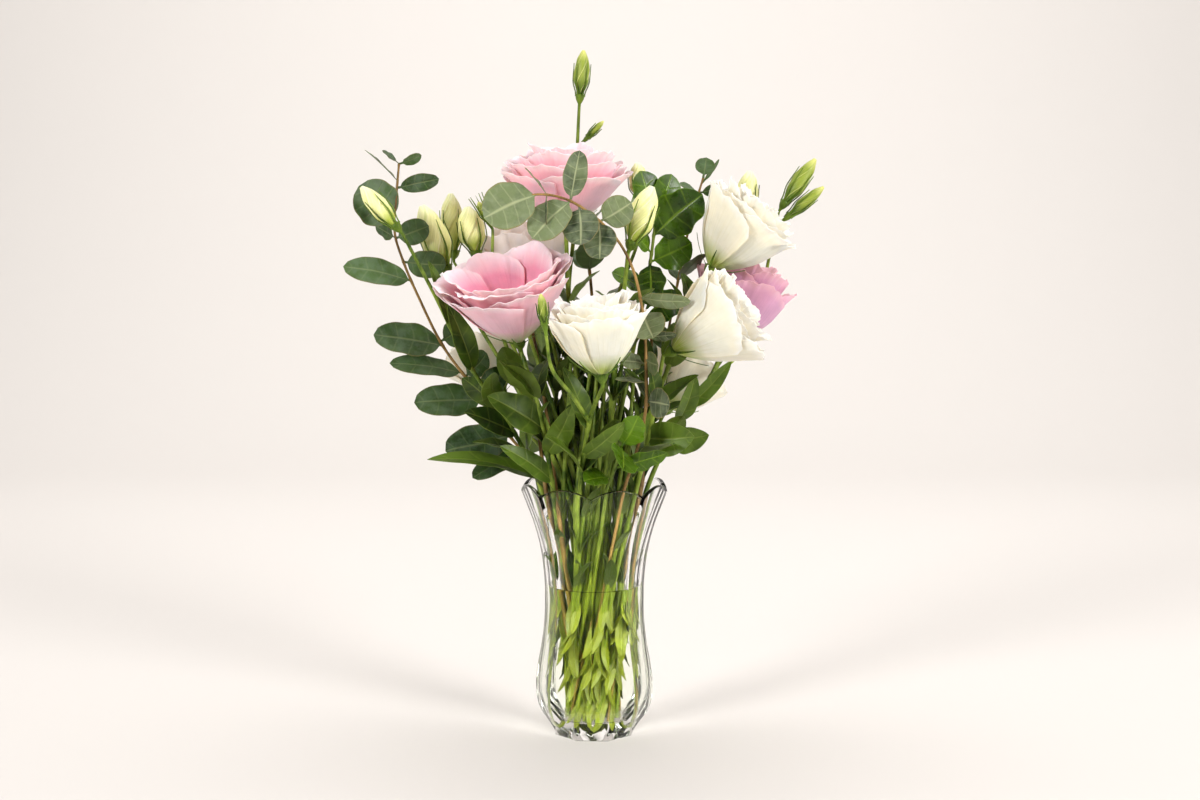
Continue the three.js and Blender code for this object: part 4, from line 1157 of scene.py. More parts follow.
@dataclass(frozen=True)
class Bloom(Flower):
    """An open bloom: rounds of broad thin petals that lap each other, and ruffled rims."""

    kind: BloomKind
    hue: Hue
    base: Triple
    lean: Triple
    spin: float
    sepal: float = 22
    number: int = 0

    def cup_radius(self) -> float:
        """The radius of the green cup under the bloom."""
        return CALYX_RADIUS

    def sepal_line(self, u: np.ndarray) -> tuple[np.ndarray, np.ndarray]:
        """Finds the line of a sepal along the outermost petals.

        Args:
            u: Shares of the sepal's length.

        Returns:
            Distances from the axis and heights.
        """
        form = self.kind.value
        length = form.layers[0].length
        r, z = petal_profile(form.angles, length, 1.06, PETAL_FOOT[0])(u * self.sepal / length)
        lean = np.radians(form.angles[0] * (1 - 0.3 * u))
        space = SEPAL_SPACE * (0.55 + 0.55 * u)
        return r + space * np.cos(lean), z - space * np.sin(lean)

    def petal(self, skin: Skin, depth: float, i: int, fine: tuple[int, int]) -> None:
        """Adds one petal.

        Args:
            skin: The mesh it goes into.
            depth: The petal's layer, from 0 for the outermost. One with a fraction lies
                between two layers of the part's source.
            i: The petal's number in its layer.
            fine: Rows up and columns across.
        """
        form = self.kind.value
        sizes = zip(*(layer + foot for layer, foot in zip(form.layers, PETAL_FOOT)))
        length, share, ruffle, *foot = (
            float(np.interp(depth, range(len(size)), size)) for size in sizes
        )
        own = [chance(self.number + 10 * k, i + 5 * depth) for k in range(6)]
        reach = 1 - (1 - PETAL_REACH) * chance(self.number, i + 5 * depth)
        roll = form.roll * (0.5 + own[1]) * (1 if depth < 1 else 0.6)
        profile = petal_profile(form.angles, length, share * (0.96 + 0.08 * own[2]), foot, roll)
        rows, columns = fine
        u = (1 - (1 - np.linspace(0, 1, rows)) ** 1.35)[:, None]
        v = np.linspace(-1, 1, columns)[None, :]
        spread = form.spread * (0.92 + 0.16 * own[3])
        wide = v * spread / (PETAL_STEP / 2)
        middle = self.spin + PETAL_STEP * (depth / 2 + i) + 5 * (own[4] - 0.5)
        azimuth = np.radians(middle + v * spread + form.twist * depth * u * u)
        ragged = sum(
            share * np.sin(beats * wide + 70 * start)
            for share, beats, start in ((0.6, 9, own[0]), (0.5, 19, own[1]), (0.4, 31, own[2]))
        )
        ragged = ragged * (0.007 if self.hue is Hue.PINK else 0.01)
        brim = 1 - 0.06 * np.minimum(wide, 1.2) ** 2 - form.corner * np.abs(v) ** 4 + ragged
        along = u * reach * (1 - (1 - brim) * u)
        r, z = profile(along)
        r2, z2 = profile(along + 0.01)
        slope = np.arctan2(r2 - r, z2 - z)
        wave = ruffle * along ** 3
        beat = np.sin(6 * azimuth + 2 * self.number + depth)
        crinkle = along ** 7 * (
            1.1 * np.sin(15 * azimuth + 9 * own[0]) + 0.7 * np.sin(27 * azimuth + 5 * own[1])
            + 0.4 * np.sin(45 * azimuth + 3 * own[2])
        )
        lap = PETAL_LAP * wide * np.minimum(1, 1.6 * u)
        side = crinkle * (0.75 if depth < 1.6 else 0.5)
        out = r + lap + wave * beat + side * np.cos(slope)
        height = z + 0.5 * wave * beat - side * np.sin(slope)
        points = around(out, azimuth, height)
        rise = np.gradient(points, axis=0)
        run = np.gradient(points, axis=1)
        normal = np.cross(rise, run)
        normal /= np.maximum(np.linalg.norm(normal, axis=-1, keepdims=True), 1e-9)
        step = normal * PETAL_THICKNESS / 2
        front, back = self.stood(points + step), self.stood(points - step)
        skin.sheet(front, back, paired((v + 1) / 2, u), own[5])

    def build(self) -> None:
        """Makes the petals and the heart and puts them in the bloom's place."""
        form = self.kind.value
        hidden = len(form.layers) < 3 and self.hue is not Hue.MAUVE
        fine = (12, 24) if hidden else (18, 60)
        skin = Skin()
        for depth in form.depths:
            for i in range(PETALS):
                self.petal(skin, depth, i, fine)
        finish = self.hue.value
        mesh = skin.mesh(self.name + "_petals", finish.material(), 60)
        place_piece(show(mesh), finish.slot, self.name)
        self.heart()

    def heart(self) -> None:
        """Makes the ring of stamens round the pistil, in the middle of the petals."""
        skin = Skin()
        foot = PETAL_FOOT[len(self.kind.value.layers) - 1][1]
        filament = [Vector((0, -1.2 - 0.07 * k * (7 - k), foot + 2.4 * k)) for k in range(6)]
        add_tube(skin, filament, (0.35, 0.33, 0.3, 0.3, 0.28, 0.28), 6)
        anther = [Vector((0, -2.0 - 0.2 * k, foot + 11 + k)) for k in range(6)]
        add_tube(skin, anther, (0.2, 0.7, 0.95, 0.95, 0.7, 0.2), 8)
        half = Vector((0, 0, foot)), Vector((0, 0, foot + 9)), Vector((0, 0, foot + 13))
        piece = show(skin.mesh(self.name + "_stamens", None, 60))
        first = math.radians(self.spin)
        self.ring(piece, 60, Count=6, First=first, Join=0.0, Material=PISTIL.material())
        place_piece(piece, self.hue.value.slot, self.name)
        style = Skin()
        add_tube(style, half, (1.6, 0.8, 1.2), 10)
        style.points = [self.stood(block) for block in style.points]
        mesh = style.mesh(self.name + "_pistil", PISTIL.material(), 60)
        place_piece(show(mesh), self.hue.value.slot, self.name)


@dataclass(frozen=True)
class Bud(Flower):
    """A closed bud: petals wound round each other, each free edge a low step on its side."""

    hue: Hue
    base: Triple
    lean: Triple
    length: float
    radius: float
    awn: float = 0
    spin: float = 0

    def cup_radius(self) -> float:
        """The radius of the green cup under the bud."""
        return min(CALYX_RADIUS, self.radius * 0.42 + 0.8)

    def sepal_line(self, u: np.ndarray) -> tuple[np.ndarray, np.ndarray]:
        """Finds the line of a sepal up the bud.

        Args:
            u: Shares of the sepal's length.

        Returns:
            Distances from the axis and heights.
        """
        height = u * (self.awn or self.length * 0.74)
        skin = self.radius * eased(BUD_SWELL, np.minimum(height / self.length, 0.6))
        stand = 0.25 + (1.6 if self.awn else 0.4) * u * u
        return np.maximum(skin + stand, self.cup_radius() * (1 - 0.5 * u)), height - 1

    def build(self) -> None:
        """Makes the wound petals and puts them in the bud's place."""
        rows, columns = 34, 80
        u = np.linspace(0, 1, rows)[:, None]
        a = np.arange(columns)[None, :] / columns
        wound = (a * PETALS - u * 2.1 + chance(self.length, self.radius)) % 1.0
        step = 0.13 * wound ** 1.5 * np.sin(math.pi * np.minimum(1, 0.12 + u)) ** 0.5
        rib = 0.03 * np.sin(2 * math.pi * 4 * (a * PETALS - u * 2.1))
        r = self.radius * eased(BUD_SWELL, u) * (0.88 + step + rib * (1 - u))
        skin = Skin()
        skin.turned(self.stood(around(r, math.tau * a, self.length * u)), paired(wound, u))
        finish = self.hue.value
        mesh = skin.mesh(self.name + "_petals", finish.material(), 70)
        place_piece(show(mesh), finish.slot, self.name)


def add_tube(skin: Skin, points: Sequence[Vector], radii: Sequence[float], sides: int) -> None:
    """Adds a round body along a line that runs upwards.

    Args:
        skin: The mesh it goes into.
        points: The line's points, in millimetres.
        radii: The body's radius at each.
        sides: Facets round it.
    """
    a = np.arange(sides) / sides * math.tau
    rings = []
    for k, (point, radius) in enumerate(zip(points, radii)):
        ahead = points[min(k + 1, len(points) - 1)] - points[max(k - 1, 0)]
        turn = np.array(UP.rotation_difference(ahead.normalized()).to_matrix())
        rings.append(around(radius, a, 0) @ turn.T + np.array(point))
    places = np.stack(np.meshgrid(a / math.tau, np.linspace(0, 1, len(rings))), -1)
    skin.turned(np.array(rings), places)


@dataclass(frozen=True)
class Calyx:
    """The green cup that a stem widens into under a flower, with its five thin sepals."""

    flower: Bloom | Bud
    stem_radius: float

    def build(self, node: str) -> None:
        """Makes a fifth of the cup with its sepal, and repeats it round the flower's axis.

        Args:
            node: The solid of the stem that carries the flower.
        """
        wide = self.flower.cup_radius()
        skin = Skin()
        rows: Table = (
            (-8.2, self.stem_radius), (-6.2, self.stem_radius * 1.08), (-4.6, wide * 0.66),
            (-2.6, wide * 0.92), (-0.6, wide), (0.4, wide * 0.86),
        )
        z, r = np.array(rows).T[..., None]
        azimuth = np.radians(np.linspace(-HALF_SEPAL, HALF_SEPAL, 9))[None, :]
        rib = 1 + 0.035 * np.cos(5 * azimuth) * (z > -6)
        outer = around(r * rib, azimuth, z)
        inner = outer * np.array([0.82, 0.82, 1])
        skin.sheet(inner, outer, paired((azimuth + 1) / 2, (z + 9) / 10), 0.5)
        u = np.linspace(0, 1, 14)[:, None]
        v = np.linspace(-1, 1, 5)[None, :]
        line_r, line_z = self.flower.sepal_line(u)
        fade = np.clip(1 - u / 0.18, 0, 1)
        line_r = line_r * (1 - fade) + wide * 0.97 * fade
        line_z = line_z * (1 - fade) + (-1.2 + 6 * u) * fade
        half = 0.95 * (1 - u) ** 0.9 * (0.9 + 0.6 * u) + 0.1
        if isinstance(self.flower, Bud):
            half = half * (0.5 + 0.03 * self.flower.radius)
        side = v * half
        keel = 0.35 * (1 - np.abs(v)) * (1 - u)
        front, back = (
            np.stack(np.broadcast_arrays(side, -(line_r + out), line_z), -1)
            for out in (-0.1, 0.45 + keel)
        )
        skin.sheet(front, back, paired((v + 1) / 2, u), 0.5)
        piece = show(skin.mesh(f"{self.flower.name}_calyx", None, 50))
        first = math.radians(self.flower.spin + HALF_SEPAL)
        self.flower.ring(
            piece, 50, Count=SEPALS, First=first, Join=JOIN, Material=CALYX.material(),
        )
        place_piece(piece, "stem_leaf", node)


# Stems and leaves


@dataclass(frozen=True)
class LeafShape:
    """A leaf blade: where it is widest, how full, arched and folded, its stalk and its teeth."""

    skew: float
    full: float
    arch: float
    fold: float
    stalk: float
    teeth: float
    finish: Finish
    stem: Finish


class Leaf(Enum):
    """The kinds of leaves on the bouquet's stems."""

    LISIANTHUS = LeafShape(0.78, 0.72, 0.07, 0.22, 0, 0, STEM_LEAF, GREEN_STEM)
    EUCALYPTUS = LeafShape(0.95, 0.5, 0.03, 0.06, 3, 0, GUM_LEAF, WOODY_STEM)
    YOUNG_EUCALYPTUS = LeafShape(0.95, 0.5, 0.03, 0.06, 3, 0, PALE_GUM_LEAF, WOODY_STEM)
    BROAD = LeafShape(0.9, 0.55, 0.05, 0.14, 4, 0.14, BROAD_LEAF, LEAFY_STEM)
    INNER = LeafShape(0.78, 0.72, 0.07, 0.22, 0, 0, PAINTED_SHADE_LEAF, GREEN_STEM)
    SUNK = LeafShape(0.78, 0.72, 0.1, 0.18, 0, 0, SOAKED_AND_LIT_LEAF, GREEN_STEM)


PAIR_PITCH = math.radians(46)
LEAF_TURNS = (
    (0, 0), (10, 0), (-10, 0), (0, 10), (0, -10), (20, 0), (-20, 0), (12, 12), (-12, 12),
    (12, -12), (-12, -12), (32, 0), (-32, 0), (0, 24), (0, -24), (24, 20), (-24, 20), (24, -20),
    (-24, -20), (45, 0), (-45, 0), (45, 20), (-45, 20), (60, 0), (-60, 0), (75, 10), (-75, 10),
    (90, 0), (-90, 0),
)


@dataclass(frozen=True)
class Blade:
    """How one leaf lies: its foot, the line to its tip, the way its face looks and its width."""

    foot: Vector
    chord: Vector
    face: Vector
    width: float

    def swung(self, stem: Vector, turn: float, tilt: float) -> Blade:
        """Swings the leaf round its stem, then to or from it.

        Args:
            stem: The stem's direction at the leaf.
            turn: Degrees round the stem.
            tilt: Degrees of pitch.

        Returns:
            The leaf as it lies then.
        """
        round_stem = Quaternion(stem, math.radians(turn))
        across = round_stem @ self.chord.cross(self.face).normalized()
        pitch = Quaternion(across, math.radians(tilt))
        return Blade(
            self.foot, pitch @ (round_stem @ self.chord), pitch @ (round_stem @ self.face),
            self.width,
        )

    def add_to(self, skin: Skin, shape: LeafShape, seed: float) -> None:
        """Adds the leaf to a mesh.

        Args:
            skin: The mesh it goes into.
            shape: The kind of leaf.
            seed: The leaf's own number, which sets its waves.
        """
        reach = self.chord.length
        rows, columns = (22, 11) if reach > 16 else (12, 7)
        u = np.linspace(0, 1, rows)[:, None]
        v = np.linspace(1, -1, columns)[None, :]
        along = np.array(self.chord.normalized())
        across = np.array(self.chord.normalized().cross(self.face))
        face = np.array(self.face)
        s = np.clip((u * reach - shape.stalk) / (reach - shape.stalk), 0, 1) ** shape.skew
        toothed = 1 - shape.teeth * (1 + np.cos(6 * math.pi * u)) / 2
        fine = 1 + 0.02 * np.sin(44 * math.pi * u) * (shape.teeth > 0)
        half = self.width / 2 * (4 * s * (1 - s)) ** shape.full * toothed * fine
        stalk_half = 0.75 if shape.stalk else 0.9
        half = np.maximum(half, stalk_half * (1 - u) ** 0.5 + 0.1)
        wave = self.width * 0.035 * (
            np.sin(2 * math.pi * (1.6 * u + seed) + 1.5 * v) * v * v
            + 0.6 * np.sin(2 * math.pi * (3.1 * u + 2 * seed)) * np.abs(v) ** 3 * np.sign(v)
        ) * np.sin(math.pi * u)
        lift = 4 * shape.arch * reach * u * (1 - u) + shape.fold * np.abs(v) * half + wave
        groove = -0.25 * np.exp(-(v / 0.12) ** 2) * np.sin(math.pi * u)
        bend = (seed - 0.5) * 0.05 * reach * np.sin(math.pi * u) ** 2
        points = (
            np.array(self.foot) + along * (u * reach)[..., None]
            + across * (v * half + bend)[..., None] + face * (lift + groove)[..., None]
        )
        step = face * (0.28 + 0.3 * np.exp(-(v / 0.15) ** 2) * (1 - u))[..., None] / 2
        places = np.stack(np.broadcast_arrays((1 - v) / 2, u), -1)
        skin.sheet(points + step, points - step, places, seed)


@dataclass(frozen=True)
class Branch:
    """A side shoot: where it leaves its parent, the points it passes and what it carries."""

    at: float
    via: tuple[Triple, ...]
    end: str
    on: int = 0


@dataclass(frozen=True)
class RingLay:
    """Where a ring of stems stands in the vase: at its foot, at the rim, and turned between."""

    foot: float
    rim: float
    turn: float


class StemRing(Enum):
    """The rings of stems in the vase, which lean and turn opposite ways."""

    OUTER = RingLay(15.5, 37, 88)
    INNER = RingLay(7.5, 19.5, -100)
    MIDDLE = RingLay(0, 3, 0)


STEM_FOOT = 14.4
RIM_PASS = 172
STRAIGHT_TO = 142
STEM_TAPER = 0.35
SHOOT_SHARE = 0.75


@dataclass(frozen=True)
class Stem:
    """A stem with its side shoots, its leaves and the flowers it carries."""

    name: str
    radius: float
    rim: float
    up: tuple[Triple, ...]
    end: str = ""
    kind: Leaf = Leaf.LISIANTHUS
    ring: StemRing = StemRing.OUTER
    branches: tuple[Branch, ...] = ()
    twigs: tuple[Branch, ...] = ()
    leaves: tuple[tuple[float, Triple, float, float], ...] = ()
    pairs: tuple[tuple[float, float, float, float], ...] = ()

    def route(self) -> Route:
        """Lays the stem's route from the floor of the vase to the flower it carries.

        Returns:
            The route.
        """
        lay = self.ring.value
        foot = heading(self.rim - lay.turn) * lay.foot + UP * STEM_FOOT
        top = heading(self.rim) * lay.rim + UP * RIM_PASS
        bend = foot.lerp(top, (STRAIGHT_TO - STEM_FOOT) / (RIM_PASS - STEM_FOOT))
        points = [tuple(foot), tuple(bend), tuple(top), *self.up]
        return Route(tuple(points) + stem_end(self.end))

    def line(self, route: Route, radius: float, nodes: Sequence[float]) -> Line:
        """Samples a route for sweeping.

        Args:
            route: The route.
            radius: The stalk's radius at its foot.
            nodes: Shares of the way at which leaves or shoots leave, where it swells a little.

        Returns:
            Points some 2.5 mm apart, with the thickness at each.
        """
        spans = [
            (Vector(b) - Vector(a)).length for a, b in zip(route.points, route.points[1:])
        ]
        last = len(spans)
        shares = [0.0]
        for i, span in enumerate(spans):
            steps = max(2, round(span / 2.5))
            shares += [(i + (k + 1) / steps) / last for k in range(steps)]
        total = sum(spans)
        thickness = []
        for t in shares:
            near = min((abs(t - node) * total for node in nodes), default=99)
            swell = 1 + 0.28 * math.exp(-((near / 2.6) ** 2))
            thickness.append(radius * (1 - STEM_TAPER * t) * swell)
        return Line([route.at(t) for t in shares], thickness)

    def shoots(self, route: Route) -> list[tuple[str, Route]]:
        """Lays the routes of the branches and of the twigs on those.

        Args:
            route: The stem's own route.

        Returns:
            What each carries, and its route.
        """
        found: list[tuple[str, Route]] = []
        for shoot in self.branches:
            start = route.at((shoot.at + 2) / (len(route.points) - 1))
            found.append((shoot.end, Route((tuple(start), *shoot.via) + stem_end(shoot.end))))
        for shoot in self.twigs:
            parent = found[shoot.on][1]
            start = parent.at(shoot.at / (len(parent.points) - 1))
            found.append((shoot.end, Route((tuple(start), *shoot.via) + stem_end(shoot.end))))
        return found

    def blades(self, route: Route) -> list[tuple[Vector, Blade]]:
        """Lays the leaves as the part's source states them, before they swing clear.

        Args:
            route: The stem's own route.

        Returns:
            The stem's direction at each leaf, and the leaf.
        """
        last = len(route.points) - 1
        found = []
        for place, tip, width, roll in self.leaves:
            t = (place + 2) / last
            foot = route.at(t)
            chord = Vector(tip) - foot
            along = chord.normalized()
            face = Vector((0, -1, 0.3))
            face = (face - along * face.dot(along)).normalized()
            face = Quaternion(along, math.radians(roll)) @ face
            found.append((route.way(t), Blade(foot, chord, face, width)))
        for place, azimuth, length, width in self.pairs:
            t = (place + 2) / last
            stem = route.way(t)
            for turn, size in ((0, length), (180, length * 0.94)):
                side = heading(azimuth + turn)
                side = (side - stem * side.dot(stem)).normalized()
                rise, out = math.cos(PAIR_PITCH), math.sin(PAIR_PITCH)
                chord = stem * (rise * size) + side * (out * size)
                face = stem * out - side * rise
                found.append((stem, Blade(route.at(t), chord, face, width)))
        return found

    def build(self, corners: KDTree) -> None:
        """Makes the stalks, the calyxes and the leaves, and puts them in place.

        Args:
            corners: The corners of the stem's solid.
        """
        route = self.route()
        last = len(route.points) - 1
        nodes = [(leaf[0] + 2) / last for leaf in (*self.leaves, *self.pairs)]
        nodes += [(shoot.at + 2) / last for shoot in self.branches]
        lines = [self.line(route, self.radius, nodes)]
        carried = [(self.end, self.radius * (1 - STEM_TAPER))]
        thin = self.radius * SHOOT_SHARE
        for end, shoot in self.shoots(route):
            lines.append(self.line(shoot, thin, ()))
            carried.append((end, thin * (1 - STEM_TAPER)))
        shape = self.kind.value
        stalk = swept(self.name + "_stalk", lines, 12, shape.stem)
        place_piece(stalk, shape.finish.slot, self.name)
        for end, radius in carried:
            if end in FLOWERS:
                Calyx(FLOWERS[end], radius).build(self.name)
        self.hang(route, corners)

    def hang(self, route: Route, corners: KDTree) -> None:
        """Makes the leaves, each swung the way its solid is.

        Args:
            route: The stem's own route.
            corners: The corners of the stem's solid, with the tips of its leaves among them.
        """
        shape = self.kind.value
        skin = Skin()
        hung = 0
        for number, (stem, blade) in enumerate(self.blades(route)):
            for turns in LEAF_TURNS:
                tried = blade.swung(stem, *turns)
                tip = (tried.foot + tried.chord) * MM
                if corners.find(tip)[2] < 0.06 * MM:
                    tried.add_to(skin, shape, chance(number, self.rim))
                    hung += 1
                    break
        if hung:
            mesh = skin.mesh(self.name + "_leaves", shape.finish.material(), 50)
            place_piece(show(mesh), shape.finish.slot, self.name)
        log.info("%s: %d leaves hung", self.name, hung)


def stem_end(name: str) -> tuple[Triple, ...]:
    """The last point of a stem or shoot, at its flower's calyx, or none if it is bare."""
    return (tuple(FLOWERS[name].calyx_foot()),) if name in FLOWERS else ()


BLOOMS = (
    Bloom("bloom_pink_back", BloomKind.BROAD, Hue.PINK,
          (-19, 6, 350), (0, -0.1, 1), spin=10, number=1),
    Bloom("bloom_pink_front", BloomKind.OPEN, Hue.PINK,
          (-50, -26, 273), (-0.17, -0.34, 0.92), spin=30, number=2),
    Bloom("bloom_white_front", BloomKind.BOWL, Hue.WHITE,
          (5, -89, 256), (-0.1, -0.08, 1), spin=0, number=3),
    Bloom("bloom_white_high", BloomKind.CUP, Hue.WHITE,
          (79, -12, 322), (0.6, -0.1, 0.8), spin=20, number=4),
    Bloom("bloom_white_right", BloomKind.TRUMPET, Hue.WHITE,
          (52, -52, 269), (0.84, -0.12, 0.52), spin=50, number=5),
    Bloom("bloom_mauve", BloomKind.PLAIN, Hue.MAUVE,
          (92, 22, 273), (0.32, -0.04, 0.95), spin=15, sepal=15, number=6),
    Bloom("bloom_blush", BloomKind.PLAIN, Hue.BLUSH,
          (-46, 48, 298), (-0.12, 0.12, 0.98), spin=40, number=7),
    Bloom("bloom_cream_right", BloomKind.SMALL, Hue.CREAM,
          (52, 38, 222), (0.5, 0.42, 0.76), spin=5, number=8),
    Bloom("bloom_cream_left", BloomKind.SMALL, Hue.CREAM,
          (-66, 40, 234), (-0.5, 0.42, 0.76), spin=25, number=9),
)
BUDS = (
    Bud("bud_top", Hue.GREEN_BUD, (-10, 56, 441), (0.08, 0, 1), length=31, radius=5.6),
    Bud("bud_top_side", Hue.GREEN_BUD, (-4, 53, 412), (0.7, -0.1, 0.7), length=15, radius=2.4),
    Bud("bud_far_left", Hue.YELLOW_BUD, (-132, -26, 350), (-0.66, 0, 0.75), length=33, radius=6.6),
    Bud("bud_cream_front", Hue.YELLOW_BUD,
        (-102, 14, 322), (-0.36, 0, 0.93), length=44, radius=10.3),
    Bud("bud_cream_right", Hue.YELLOW_BUD,
        (-82, 24, 332), (-0.18, 0, 0.98), length=31, radius=9.6),
    Bud("bud_cream_back", Hue.YELLOW_BUD, (-99, 45, 332), (-0.04, 0, 1), length=40, radius=8.5),
    Bud("bud_small_left", Hue.GREEN_BUD,
        (-73, 11, 354), (-0.46, 0, 0.89), length=13, radius=3.4, awn=19),
    Bud("bud_mid_right", Hue.YELLOW_BUD, (25, -46, 339), (0.34, 0, 0.94), length=38, radius=9.2),
    Bud("bud_right_high", Hue.GREEN_BUD, (133, 36, 366), (0.57, 0, 0.82), length=36, radius=5.8),
    Bud("bud_right_low", Hue.GREEN_BUD, (136, 33, 357), (0.76, -0.1, 0.64), length=30, radius=4.2),
    Bud("bud_behind_pink", Hue.YELLOW_BUD, (32, 34, 369), (-0.1, 0, 1), length=24, radius=7),
    Bud("bud_behind_white", Hue.YELLOW_BUD, (107, 60, 358), (0.1, 0, 1), length=30, radius=8),
    Bud("bud_between", Hue.GREEN_BUD,
        (-30, -121, 290), (-0.12, -0.1, 0.98), length=18, radius=3.2),
)
